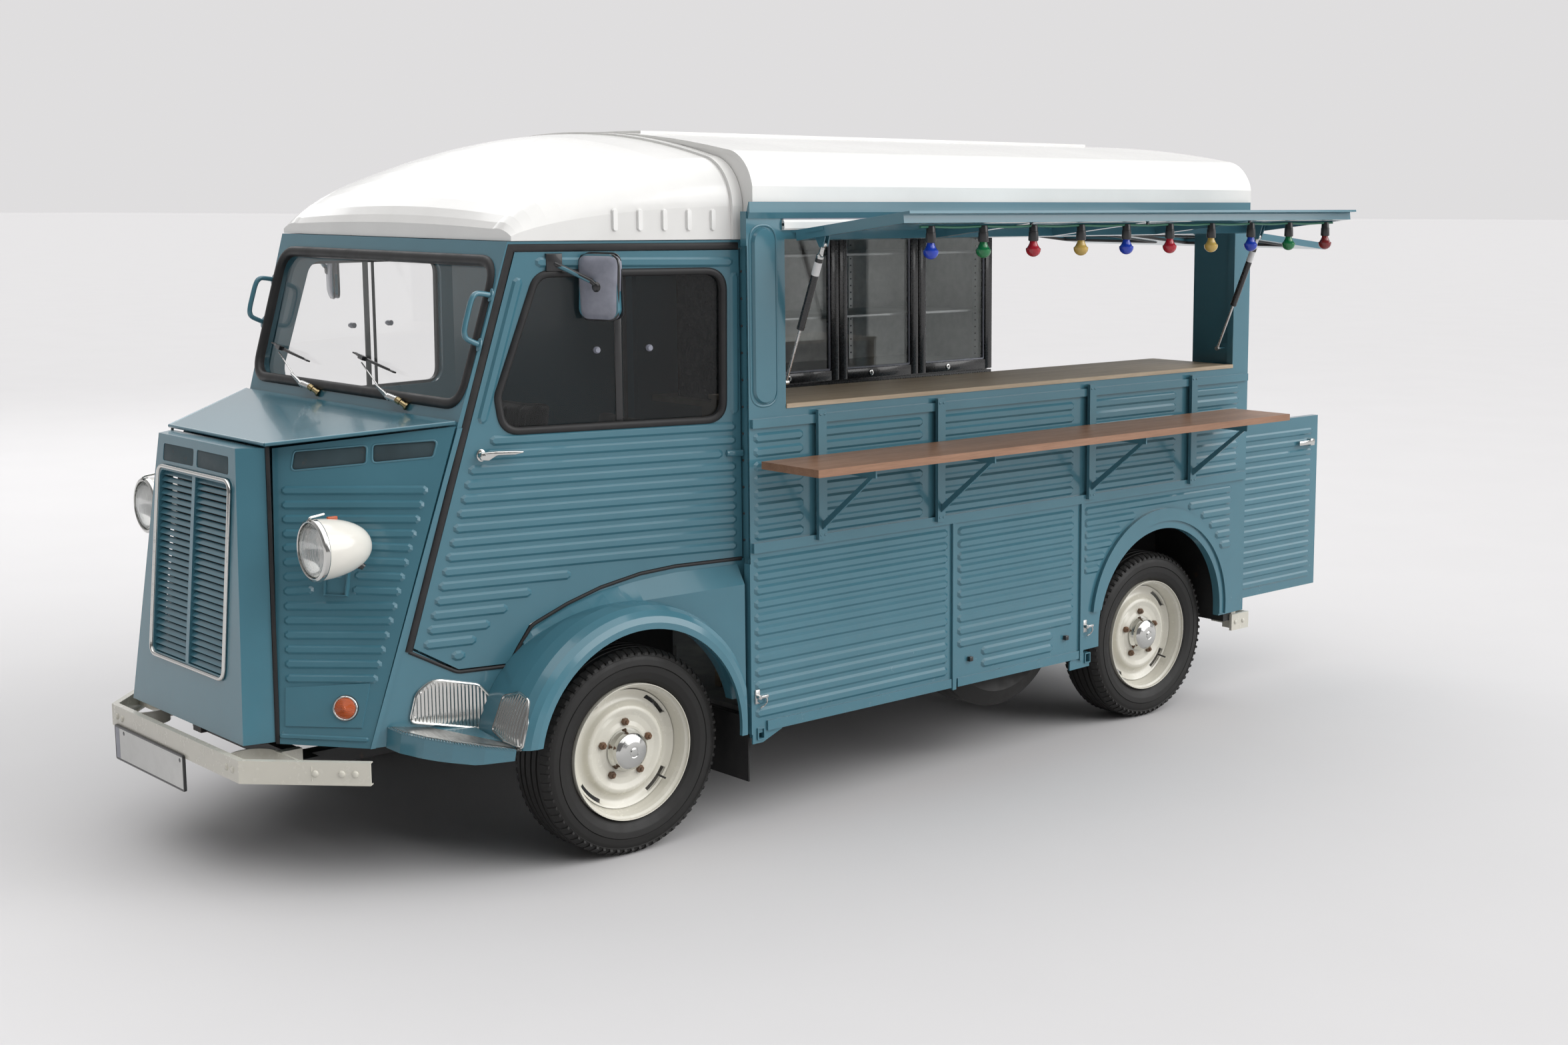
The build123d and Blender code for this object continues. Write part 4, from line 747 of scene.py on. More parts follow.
def endTree(tree, given, last, out, output):
    realize = tree.nodes.new("GeometryNodeRealizeInstances")
    paint = tree.nodes.new("GeometryNodeSetMaterial")
    wired(tree, (last, out, realize, 0), (realize, 0, paint, 0), (given, "Finish", paint, "Material"),
        (paint, 0, output, 0))
    return tree


def storedOn(tree, name, kind):
    node = tree.nodes.new("GeometryNodeInputNamedAttribute")
    node.data_type = kind
    node.inputs["Name"].default_value = name
    return node


def repeatTree():
    tree, given, output = makeTree("repeatOnPoints", [("Shape", "NodeSocketObject"),
        ("Size", "NodeSocketFloat"), ("Finish", "NodeSocketMaterial")])
    info = nodeOf(tree, "GeometryNodeObjectInfo", As_Instance=True)
    facing, spin = storedOn(tree, "facing", "FLOAT_VECTOR"), storedOn(tree, "along", "FLOAT_VECTOR")
    axes = tree.nodes.new("FunctionNodeAxesToRotation")
    axes.primary_axis, axes.secondary_axis = "Z", "X"
    grow = tree.nodes.new("GeometryNodeInstanceOnPoints")
    wired(tree, (given, "Shape", info, "Object"), (facing, "Attribute", axes, "Primary Axis"),
        (spin, "Attribute", axes, "Secondary Axis"),
          (given, "Geometry", grow, "Points"), (info, "Geometry", grow, "Instance"),
          (axes, "Rotation", grow, "Rotation"),
          (given, "Size", grow, "Scale"))
    return endTree(tree, given, grow, "Instances", output)


def beadTree():
    tree, given, output = makeTree("pressedBeads", [("Half width", "NodeSocketFloat"),
        ("Rise", "NodeSocketFloat"), ("Steps", "NodeSocketInt"), ("Finish", "NodeSocketMaterial")])
    line = tree.nodes.new("GeometryNodeMeshToCurve")
    upright = tree.nodes.new("GeometryNodeSetCurveNormal")
    upright.mode = "Z_UP"
    swell = storedOn(tree, "swell", "FLOAT")
    radius = tree.nodes.new("GeometryNodeSetCurveRadius")
    arc = nodeOf(tree, "GeometryNodeCurveArc", Start_Angle=0.0, Sweep_Angle=pi, Radius=1.0)
    shape, size, sweep, smooth = [tree.nodes.new(kind) for kind in (
        "GeometryNodeTransform", "ShaderNodeCombineXYZ", "GeometryNodeCurveToMesh",
        "GeometryNodeSetShadeSmooth")]
    wired(tree, (given, "Geometry", line, 0), (line, 0, upright, 0), (upright, 0, radius, "Curve"),
        (swell, "Attribute", radius, "Radius"),
          (given, "Steps", arc, "Resolution"), (arc, "Curve", shape, "Geometry"),
          (given, "Half width", size, "X"),
          (given, "Rise", size, "Y"), (size, 0, shape, "Scale"), (radius, 0, sweep, "Curve"),
          (shape, "Geometry", sweep, "Profile Curve"), (sweep, 0, smooth, 0))
    return endTree(tree, given, smooth, 0, output)


trees = {"repeat": repeatTree(), "bead": beadTree()}


def runTree(name, mesh, tree, values, body, slot, at=None, extra=()):
    holder = added(name, mesh)
    modifier = holder.modifiers.new(tree, "NODES")
    modifier.node_group = trees[tree]
    for label, value in values.items():
        modifier[socketId(trees[tree], label)] = value
    bpy.context.view_layer.update()
    made = settled(holder)
    holder.modifiers.clear()
    bpy.data.objects.remove(holder)
    for thing in extra:
        bpy.data.objects.remove(thing)
    if at is not None:
        made.transform(at)
    made.name = name
    piece = added(name, made)
    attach(piece, body)
    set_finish(piece, slot)
    return piece


def repeated(name, shape, spots, material, body, at=None, size=1.0):
    # spots are (place, facing, along); shape is a mesh whose z axis goes to facing
    mesh = bpy.data.meshes.new(name)
    mesh.from_pydata([spot[0] for spot in spots], [], [])
    for label, index in (("facing", 1), ("along", 2)):
        layer = mesh.attributes.new(label, "FLOAT_VECTOR", "POINT")
        for item, spot in zip(layer.data, spots):
            item.vector = spot[index]
    stamp = added(name + "Stamp", shape)
    values = {"Shape": stamp, "Size": size, "Finish": finish[material]}
    return runTree(name, mesh, "repeat", values, body, pieceSlot[material], at, extra=[stamp])


def beads(name, lines, halfWidth, rise, material, body, at=None, ends=0.03, steps=9):
    # lines are (start, end) on a plane's own x and y; both ends swell up round
    points, edges, swells = [], [], []
    for start, end in lines:
        start, end = Vector((*start, 0)), Vector((*end, 0))
        length = (end - start).length
        reach = min(ends, length * 0.45)
        stops = [reach * (1 - cos(pi / 2 * k / 6)) for k in range(7)]
        stops = stops + [length - stop for stop in reversed(stops)]
        for index, stop in enumerate(stops):
            inward = min(stop, length - stop) / reach
            if index:
                edges.append((len(points) - 1, len(points)))
            points.append(start + (end - start) * (stop / length))
            swells.append(max(0.02, sin(pi / 2 * min(1, inward)) ** 0.72))
    mesh = bpy.data.meshes.new(name)
    mesh.from_pydata(points, edges, [])
    layer = mesh.attributes.new("swell", "FLOAT", "POINT")
    for item, swell in zip(layer.data, swells):
        item.value = swell
    values = {"Half width": halfWidth, "Rise": rise, "Steps": steps, "Finish": finish[material]}
    return runTree(name, mesh, "bead", values, body, pieceSlot[material], at)


def domeMesh(name, radius, rise, segments=10, rings=3, sink=0.0006):
    profile = [(-sink, radius)] + [(rise * sin(pi / 2 * k / rings), radius * cos(pi / 2 * k / rings))
        for k in range(rings)]
    mesh = revolvedMesh(name, profile + [(rise, 0)], segments, "Z")
    mesh.shade_smooth()
    return mesh


# planes that the panels lie on, in metres
cab = {"cornerX": 0.74, "cornerY": -0.311, "cornerZ": 1.948, "taper": 0.2362, "slope": 0.3}


def cabX(y):
    return cab["cornerX"] + (y - cab["cornerY"]) * cab["taper"]


def cabFrontY(z):
    return cab["cornerY"] - (cab["cornerZ"] - z) * cab["slope"]


def sidePoint(y, z, out=0.0):
    return Vector((cabX(y), y, z)) + sideOut * out


def frontPoint(x, z, out=0.0):
    return Vector((x, cabFrontY(z), z)) + frontOut * out


sideOut = Vector((1, -cab["taper"], 0)).normalized()
frontOut = Vector((0, -1, cab["slope"])).normalized()
sidePlane = planeFrame(sidePoint(0, 0), sidePoint(1, 0), sidePoint(0, 1))
frontPlane = planeFrame(frontPoint(0, 0), frontPoint(1, 0), frontPoint(0, 1))
bodySide = planeFrame((0.978, 0, 0), (0.978, 1, 0), (0.978, 0, 1))


def onPlane(plane, point):
    local = plane.inverted() @ Vector(point)
    return (local.x, local.y)


def sideFlat(y, z):
    return onPlane(sidePlane, sidePoint(y, z))


def frontFlat(x, z):
    return onPlane(frontPlane, frontPoint(x, z))


# wheels
wheelStyle = {
    "centre": 0.812, "height": 0.335, "radius": 0.335, "halfWidth": 0.093, "rim": 0.221,
    "lugs": 72, "lugSize": (0.0155, 0.0085, 0.0045), "lugCircle": 0.3234, "lugAcross": 0.0765,
    "lugLean": 0.62,
    "nutCircle": 0.091, "nutFace": 0.036, "nuts": 5, "slots": 4, "slotBand": (0.172, 0.1885), "slotHalf": 19,
    "slotTaper": 400,
}


def tyreProfile():
    style = wheelStyle
    half, radius, rim = style["halfWidth"], style["radius"], style["rim"]
    side = [(-0.066, rim + 0.001), (-0.074, rim + 0.004, 0.003), (-0.083, rim + 0.016, 0.008),
        (-0.0905, rim + 0.036, 0.02),
            (-half + 0.0008, rim + 0.056), (-half + 0.0035, rim + 0.058), (-half + 0.0008, rim + 0.06),
            (-0.0905, rim + 0.078, 0.02),
            (-0.0865, rim + 0.088), (-0.0885, rim + 0.09), (-0.083, rim + 0.1, 0.01),
            (-0.0745, radius - 0.007, 0.01), (-0.067, radius - 0.0025, 0.006)]
    tread = []
    for centre in (-0.045, -0.0165, 0.0165, 0.045):  # four grooves round the tread
        crown = radius - 0.0025 + 0.0022 * (1 - (centre / 0.06) ** 2)
        tread += [(centre - 0.0045, crown), (centre - 0.003, crown - 0.007), (centre + 0.003, crown - 0.007),
            (centre + 0.0045, crown)]
    other = [(-x, *rest) for x, *rest in reversed(side)]
    return roundedPath(side + tread + other, steps=3)


def rimProfile():
    half, rim = wheelStyle["halfWidth"] * 0.74, wheelStyle["rim"]
    outer = [(-half - 0.006, rim), (-half - 0.006, rim - 0.006), (-half + 0.004, rim - 0.012, 0.004),
        (-0.03, rim - 0.026, 0.01),
             (0.02, rim - 0.028, 0.01), (half - 0.012, rim - 0.018, 0.008),
             (half + 0.002, rim - 0.012, 0.004), (half + 0.008, rim - 0.004, 0.004),
             (half + 0.016, rim - 0.003, 0.002), (half + 0.016, rim - 0.0002, 0.002),
             (half + 0.004, rim, 0.002), (-half - 0.004, rim)]
    return roundedPath(outer, closed=True, steps=3)


def discProfile():
    face = [(0.03, 0.193), (0.026, 0.186, 0.006), (0.014, 0.17, 0.02), (0.02, 0.152, 0.02),
        (0.04, 0.141, 0.016), (0.0425, 0.13, 0.01),
            (0.036, 0.112, 0.02), (0.034, 0.092, 0.012), (0.038, 0.078, 0.004), (0.038, 0.05)]
    back = [(x - 0.008, r) for x, r, *_ in reversed(face)]
    return roundedPath(face, steps=4) + [Vector(p) for p in back]


def hubProfile():
    cap = [(0.036, 0.066), (0.038, 0.07), (0.044, 0.071, 0.003), (0.05, 0.068, 0.003), (0.06, 0.063, 0.004),
        (0.074, 0.06, 0.008),
           (0.082, 0.05, 0.008), (0.0865, 0.034, 0.012), (0.0885, 0.018, 0.008), (0.087, 0.015, 0.002),
           (0.0905, 0.012, 0.003), (0.091, 0)]
    return roundedPath(cap, steps=4)


def cutSlots(mesh):
    # slots round the disc's outer edge, taken out by faces so that the edge stays clean
    shape = bmesh.new()
    shape.from_mesh(mesh)
    gone, (inner, outer) = [], wheelStyle["slotBand"]
    for face in shape.faces:
        centre = face.calc_center_median()
        radius = hypot(centre.y, centre.z)
        angle = degrees(atan2(centre.z, centre.y)) % (360 / wheelStyle["slots"])
        half = wheelStyle["slotHalf"] - wheelStyle["slotTaper"] * (outer - radius)
        if inner < radius < outer and abs(angle - 45) < half:
            gone.append(face)
    bmesh.ops.delete(shape, geom=gone, context="FACES")
    shape.to_mesh(mesh)
    shape.free()
    return mesh


def lugMesh():
    length, width, rise = wheelStyle["lugSize"]
    shape = bmesh.new()
    corners = [(-length, -width), (length, -width * 0.6), (length, width * 0.6), (-length, width)]
    low = [shape.verts.new((x, y, -0.004)) for x, y in corners]
    high = [shape.verts.new((x * 0.92, y * 0.86, rise)) for x, y in corners]
    shape.faces.new(high)
    for k in range(4):
        shape.faces.new((low[k], low[(k + 1) % 4], high[(k + 1) % 4], high[k]))
    bmesh.ops.recalc_face_normals(shape, faces=shape.faces)
    return meshFrom(shape, "treadLug")


def nutMesh():
    profile = [(-0.004, 0.0125), (0.01, 0.0125), (0.0125, 0.0105), (0.0125, 0.0065), (0.018, 0.006),
        (0.02, 0.004), (0.02, 0)]
    return revolvedMesh("wheelNut", profile, 6, "Z")


def makeWheel(end, side, y, sign):
    body = "wheel_%s_%s" % (end, side)
    label = end.capitalize() + side.capitalize()
    place = shifted((sign * wheelStyle["centre"], y, wheelStyle["height"])) @ Matrix.Rotation(0 if sign > 0
        else pi, 4, "Z")
    tyre = revolved("tyre" + label, tyreProfile(), "tyre", body, segments=144, closed=True, at=place,
        smooth=40)
    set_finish(tyre, "tyre_rubber")
    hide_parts("tyre_%s_%s" % (end, side))
    spots = []
    for index in range(wheelStyle["lugs"]):
        for row, turn in ((-1, 0.0), (1, 0.5)):
            angle = 2 * pi * (index + turn) / wheelStyle["lugs"]
            out = Vector((row * wheelStyle["lugLean"], cos(angle), sin(angle))).normalized()
            reach = wheelStyle["lugCircle"]
            spot = Vector((row * wheelStyle["lugAcross"], cos(angle) * reach, sin(angle) * reach))
            spots.append((spot, out, out.cross(Vector((0, -sin(angle), cos(angle))))))
    lugs = repeated("tread" + label, lugMesh(), spots, "tyre", body, at=place)
    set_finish(lugs, "tyre_rubber")
    rim = revolved("rim" + label, rimProfile(), "cream", body, segments=128, closed=True, at=place, smooth=50)
    disc = placed("disc" + label, cutSlots(revolvedMesh("disc" + label, discProfile(), 144, "X", True)),
        "cream", body, 50)
    disc.data.transform(place)
    hub = revolved("hubCap" + label, hubProfile(), "chrome", body, segments=64, at=place, smooth=40)
    barrel = revolved("drum" + label, [(-0.036, 0.0202), (-0.036, 0.062), (0.036, 0.066), (0.04, 0.05),
        (0.04, 0.0202)], "forged", body, segments=48, closed=True, at=place)
    ring, reach = [], wheelStyle["nutCircle"]
    for index in range(wheelStyle["nuts"]):
        angle = 2 * pi * index / wheelStyle["nuts"] + pi / 2
        ring.append(((wheelStyle["nutFace"], cos(angle) * reach, sin(angle) * reach), (1, 0, 0), (0, 1, 0)))
    nuts = repeated("wheelNuts" + label, nutMesh(), ring, "rust", body, at=place)
    valve = tubePiece("valve" + label, [(0.03, 0.128, -0.11), (0.052, 0.132, -0.114), (0.062, 0.137, -0.118)],
        0.0035, "black", body, order=3)
    valve.data.transform(place)
    for piece in (rim, disc, barrel, nuts, valve):
        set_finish(piece, "cream_paint")
    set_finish(hub, "strut_steel")
    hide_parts("wheel_%s_%s" % (end, side))


def makeWheels():
    for end, y in (("front", 0.0), ("rear", 2.5)):
        for side, sign in (("left", 1), ("right", -1)):
            makeWheel(end, side, y, sign)


# bands of rubber and bright trim that follow a line on a plane
def bandMesh(name, path, section, closed=False, at=None):
    # section is (across, up) round the band; path lies in the plane's own x and y
    path = [Vector(p[:2]) for p in path]
    count, rings = len(path), []
    points, faces = [], []
    for index, here in enumerate(path):
        before = path[index - 1] if index or closed else None
        after = path[(index + 1) % count] if closed or index + 1 < count else None
        ways = [w.normalized() for w in ((here - before) if before else None,
            (after - here) if after else None) if w and w.length > 1e-9]
        way = sum(ways[1:], ways[0]).normalized()
        stretch = 1 / max(0.5, way.dot(ways[0]))
        side = Vector((way.y, -way.x))
        rings.append(list(range(len(points), len(points) + len(section))))
        points += [(*(here + side * across * stretch), up) for across, up in section]
    for first, second in list(zip(rings, rings[1:])) + ([(rings[-1], rings[0])] if closed else []):
        for k in range(len(section)):
            n = (k + 1) % len(section)
            faces.append((first[k], first[n], second[n], second[k]))
    if not closed:
        faces += [rings[0], rings[-1]]
    mesh = bpy.data.meshes.new(name)
    mesh.from_pydata(points, [], faces)
    mesh = tidied(mesh)
    if at is not None:
        mesh.transform(at)
    return mesh


def roundSection(width, rise, sink=0.002, steps=6):
    half = width / 2
    crown = [(half * cos(pi * k / steps), rise * sin(pi * k / steps)) for k in range(steps + 1)]
    return [(half, -sink)] + crown + [(-half, -sink)]


def band(name, path, width, rise, material, body, at=None, closed=False, sink=0.002, section=None):
    shape = section or roundSection(width, rise, sink)
    return placed(name, bandMesh(name, path, shape, closed, at), material, body, 40)


# pressed ribs
ribStyle = {
    "pitch": 0.0456, "top": 0.9, "halfWidth": 0.0198, "rise": 0.0086, "tip": 0.014, "taper": 0.062,
    "doorTop": 1.347, "doorPitch": 0.0435, "doorHalf": 0.0187, "noseTop": 1.215, "noseHalf": 0.0167,
    "lampRows": (4, 5, 6, 7), "lampGap": (0.456, 0.538), "leafHalf": 0.0177, "leafRise": 0.0076,
}
slideX = 1.012
seamBottom, seamTop = Vector((0.4324, -0.9539, 0.453)), Vector((0.3384, -0.9029, 1.334))
ridgeBottom, ridgeTop = Vector((0.6332, -0.7631, 0.441)), Vector((0.704, -0.485, 1.398))
quarterPlane = planeFrame(ridgeBottom, (0.704, -0.485, 1.406), (0.428, -0.958, 0.453))
nosePlane = planeFrame((0, -1.0884, 0), (1, -1.0884, 0), (0, -1.0034, 1.0))


def quarterPoint(x, z, out=0.0):
    normal, origin = quarterPlane.to_3x3().col[2], quarterPlane.translation
    y = origin.y - (normal.x * (x - origin.x) + normal.z * (z - origin.z)) / normal.y
    return Vector((x, y, z)) + normal * out


def quarterFlat(x, z):
    return onPlane(quarterPlane, quarterPoint(x, z))


def noseFlat(x, z):
    return onPlane(nosePlane, (x, -0.983 + 0.085 * (z - 1.236), z))


def ribZ(index):
    return ribStyle["top"] - ribStyle["pitch"] * index


def ribRows(start, end, rows):
    return [((start, ribZ(index)), (end, ribZ(index))) for index in rows]


def archRows():
    rows = ribRows(2.016, 2.917, [0])
    for index in range(1, 6):
        reach = sqrt(0.432 ** 2 - (ribZ(index) - 0.456) ** 2)
        rows += ribRows(2.016, 2.484 - reach, [index]) + ribRows(2.468 + reach, 2.92, [index])
    return rows


def ribsOn(name, lines, body, at, half=None, rise=None):
    half, rise = half or ribStyle["halfWidth"], rise or ribStyle["rise"]
    longer = []
    for start, end in lines:
        start, end = Vector(start), Vector(end)
        tip = (end - start).normalized() * ribStyle["tip"]
        longer.append((start - tip, end + tip))
    return beads(name, longer, half, rise, "blue", body, at, ends=ribStyle["taper"])


def doorFrontY(z):
    return -0.627 + (z - 0.733) * 0.337 / 1.183


def doorRibLines():
    lines = []
    for index in range(16):
        z = ribStyle["doorTop"] - ribStyle["doorPitch"] * index
        start = doorFrontY(z) + (0.07 if index < 2 else 0.027)
        end = 0.366 if index == 2 else 0.412
        if index > 9:
            end = -0.02 - sqrt(0.56 ** 2 - (z - 0.365) ** 2)
        if index == 15:
            start = -0.517
        lines.append(((start, z), (end, z)))
    lines.append(((-0.23, 1.885), (0.408, 1.878)))
    lines.append(((0.407, 1.385), (0.411, 1.846)))
    lines.append(((doorFrontY(1.4) + 0.032, 1.4), (doorFrontY(1.84) + 0.032, 1.84)))
    return [(sideFlat(*start), sideFlat(*end)) for start, end in lines]


def quarterRibLines():
    lines = []
    low, high = onPlane(quarterPlane, seamBottom), onPlane(quarterPlane, seamTop)
    ridgeLow, ridgeHigh = onPlane(quarterPlane, ridgeBottom), onPlane(quarterPlane, ridgeTop)
    for index in range(14):
        z = ribStyle["noseTop"] - ribStyle["doorPitch"] * index
        left = Vector(low).lerp(Vector(high), (z - 0.453) / (1.342 - 0.453))
        right = Vector(ridgeLow).lerp(Vector(ridgeHigh), (z - 0.441) / (1.406 - 0.441))
        span = right - left
        stops = [left + span.normalized() * 0.024, right - span.normalized() * 0.03]
        if index in ribStyle["lampRows"]:
            stops = [stops[0]] + [Vector(quarterFlat(x, z)) for x in ribStyle["lampGap"]] + [stops[1]]
        lines += list(zip(stops[::2], stops[1::2]))
    return lines


def makeRibs():
    left = ribRows(0.424, 1.3, range(12)) + ribRows(1.346, 1.962, range(10)) + ribRows(1.466, 1.85,
        (10, 11)) + archRows()
    for start, end in ((0.446, 0.638), (0.69, 1.178), (1.246, 1.955), (2.04, 2.552), (2.64, 2.952)):
        left += ribRows(start, end, range(-9, -1))
    ribsOn("ribsSideLeft", left, "body", bodySide)
    right = ribRows(0.424, 0.56, range(12)) + ribRows(1.366, 1.98, range(12)) + archRows()
    right += ribRows(1.366, 2.54, range(-22, -1)) + ribRows(2.58, 2.952, range(-22, -1))
    piece = ribsOn("ribsSideRight", right, "body", bodySide)
    turnOver(piece)
    slide = shifted((slideX - 0.978, 0, 0)) @ bodySide
    piece = ribsOn("ribsSlidingDoor", ribRows(0.616, 1.304, range(-22, 12)), "sliding_door", slide)
    turnOver(piece)
    leafPlane = shifted((0.792 - 0.978, 0, 0)) @ bodySide
    leaf = [((3.065, 0.418 + 0.046 * index), (3.723, 0.418 + 0.046 * index)) for index in range(15)]
    ribsOn("ribsRearLeafLeft", leaf, "rear_door_left", leafPlane, ribStyle["leafHalf"], ribStyle["leafRise"])
    piece = ribsOn("ribsRearLeafRight", leaf, "rear_door_right", leafPlane, ribStyle["leafHalf"],
        ribStyle["leafRise"])
    turnOver(piece)
    for side, body in (("Left", "door_left"), ("Right", "door_right")):
        piece = ribsOn("ribsDoor" + side, doorRibLines(), body, sidePlane, ribStyle["doorHalf"])
        nose = ribsOn("ribsQuarter" + side, quarterRibLines(), "body", quarterPlane, ribStyle["noseHalf"])
        if side == "Right":
            turnOver(piece)
            turnOver(nose)


def turnOver(piece):
    piece.data.transform(mirror)
    piece.data.flip_normals()


# seals round the glass and the doors
windowPath = [(-0.338, 1.374, 0.06), (0.368, 1.374, 0.06), (0.374, 1.848, 0.06), (-0.222, 1.848, 0.06),
    (-0.352, 1.48, 0.06)]
screenPath = [(-0.684, 1.462, 0.08), (0.684, 1.462, 0.08), (0.7, 1.886, 0.08), (-0.7, 1.886, 0.08)]
sealStyle = {"screen": 0.034, "window": 0.024, "door": 0.023, "doorLow": 0.011, "rise": 0.009}


def windowLine(grow=0.0):
    corners = [(*sideFlat(y, z), radius) for y, z, radius in windowPath]
    return grown(roundedPath(corners, closed=True, steps=8), grow)


def screenLine(grow=0.0):
    corners = [(*frontFlat(x, z), radius) for x, z, radius in screenPath]
    return grown(roundedPath(corners, closed=True, steps=8), grow)


def grown(path, amount):
    # closed path pushed outwards by an amount
    turn = 1 if signedArea(path) > 0 else -1
    moved = []
    for index, here in enumerate(path):
        way = (path[(index + 1) % len(path)] - path[index - 1]).normalized()
        moved.append(here + Vector((way.y, -way.x)) * amount * turn)
    return moved


def makeSeals():
    band("screenRubber", screenLine(0.004), sealStyle["screen"], 0.012, "seal", "body", frontPlane,
        closed=True, sink=0.012)
    pieces = [band("windowRubber", windowLine(0.002), sealStyle["window"], sealStyle["rise"], "seal",
        "door_left", sidePlane, closed=True, sink=0.012)]
    front = [sideFlat(doorFrontY(0.733) - 0.014, 0.722), sideFlat(doorFrontY(1.927) - 0.014, 1.929),
        sideFlat(0.425, 1.929)]
    pieces.append(band("doorFrontSeal", front, sealStyle["door"], 0.005, "seal", "body", sidePlane,
        sink=0.004))
    low = [(-0.64, 0.722), (-0.499, 0.643, 0.05), (-0.341, 0.643, 0.02), (-0.312, 0.696, 0.04),
        (-0.269, 0.763, 0.06), (-0.157, 0.819, 0.1),
           (-0.049, 0.86, 0.1), (0.082, 0.892, 0.1), (0.2, 0.905, 0.1), (0.425, 0.91)]
    corners = [(*sideFlat(y, z), *rest) for y, z, *rest in low]
    pieces.append(band("doorLowSeal", roundedPath(corners, steps=4), sealStyle["doorLow"], 0.005, "seal",
        "body", sidePlane, sink=0.004))
    for piece in pieces:
        bothSides(piece, "door_right" if piece.name.startswith("window") else "body")


# grille, vents and the strip between the nose and the quarter panels
noseStyle = {"grille": [(-0.268, 0.628), (0.268, 0.628), (0.26, 1.236), (-0.26, 1.236)], "corner": 0.04,
    "seam": 0.011}
noseVent = [(0.012, 1.252), (0.236, 1.25), (0.232, 1.304), (0.012, 1.305)]
quarterVents = ([(0.362, 1.262), (0.525, 1.285), (0.52, 1.341), (0.362, 1.321)],
    [(0.537, 1.287), (0.668, 1.306), (0.672, 1.358), (0.531, 1.343)])


def makeNose():
    frameLine = roundedPath([(*noseFlat(x, z), noseStyle["corner"]) for x, z in noseStyle["grille"]],
        closed=True, steps=8)
    band("grilleFrame", grown(frameLine, -0.003), 0.013, 0.0065, "chrome", "body",
        shifted((0, -0.0045, 0)) @ nosePlane, closed=True)
    # the radiator behind the grille as a flat black sheet; its black is painted shade for the dark space
    # behind the slats
    back = [noseFlat(x * 0.95, 0.64 + (z - 0.628) * 0.95) for x, z in noseStyle["grille"]]
    sheetPiece("radiatorDark", back, 0.004, "flap", "body", at=shifted((0, 0.055, 0)) @ nosePlane)
    # the nose and quarter vents are flat sheets; their dark colour is painted shade for the openings behind
    # the mesh
    for side in (-1, 1):
        outline = roundedPath([(*noseFlat(x * side, z), 0.009) for x, z in noseVent], closed=True)
        name = "noseVent" + ("Left" if side > 0 else "Right")
        sheetPiece(name, grown(outline, -0.0005), 0.001, "mesh", "body",
            at=shifted((0, 0.0025, 0)) @ nosePlane)
    for index, corners in enumerate(quarterVents):
        outline = roundedPath([(*quarterFlat(x, z), 0.014) for x, z in corners], closed=True)
        inward = quarterPlane @ shifted((0, 0, -0.0035))
        vent = sheetPiece("quarterVent%d" % index, grown(outline, -0.0005), 0.001, "mesh", "body", at=inward)
        rim = band("quarterVentRim%d" % index, outline, 0.006, 0.0022, "blue", "body", quarterPlane,
            closed=True)
        bothSides(vent)
        bothSides(rim)
    seam = bar4("noseSeam", (0.4335, -0.9565, 0.453), (0.3395, -0.9055, 1.339), noseStyle["seam"], 0.006,
        (0.66, -0.75, 0.0))
    bothSides(seam)


def bar4(name, start, end, width, depth, out, material="seal", body="body"):
    start, end, out = Vector(start), Vector(end), Vector(out).normalized()
    way = (end - start).normalized()
    side = way.cross(out).normalized()
    frameOf = Matrix((side, way, side.cross(way))).transposed().to_4x4()
    half = width / 2
    outline = [(-half, 0), (half, 0), (half, (end - start).length), (-half, (end - start).length)]
    return sheetPiece(name, outline, depth, material, body, rim=0.0015, at=shifted(start) @ frameOf)


# headlamps, indicators and tail lamps
lampStyle = {"centre": (0.592, -0.9, 1.055), "radius": 0.0915, "length": 0.181, "glass": 0.08,
    "indicator": (0.567, 0.561)}


def lampShell():
    length, radius = lampStyle["length"], lampStyle["radius"]
    path = [(0.006, 0.083), (0.006, 0.088)]
    for step in range(15):
        share = step / 14
        path.append((0.008 + (length - 0.008) * sin(share * pi / 2),
            radius * max(0, cos(share * pi / 2)) ** 0.86))
    inner = [(length - 0.012, 0), (length * 0.6, 0.045), (0.05, 0.076), (0.012, 0.083)]
    return path + inner


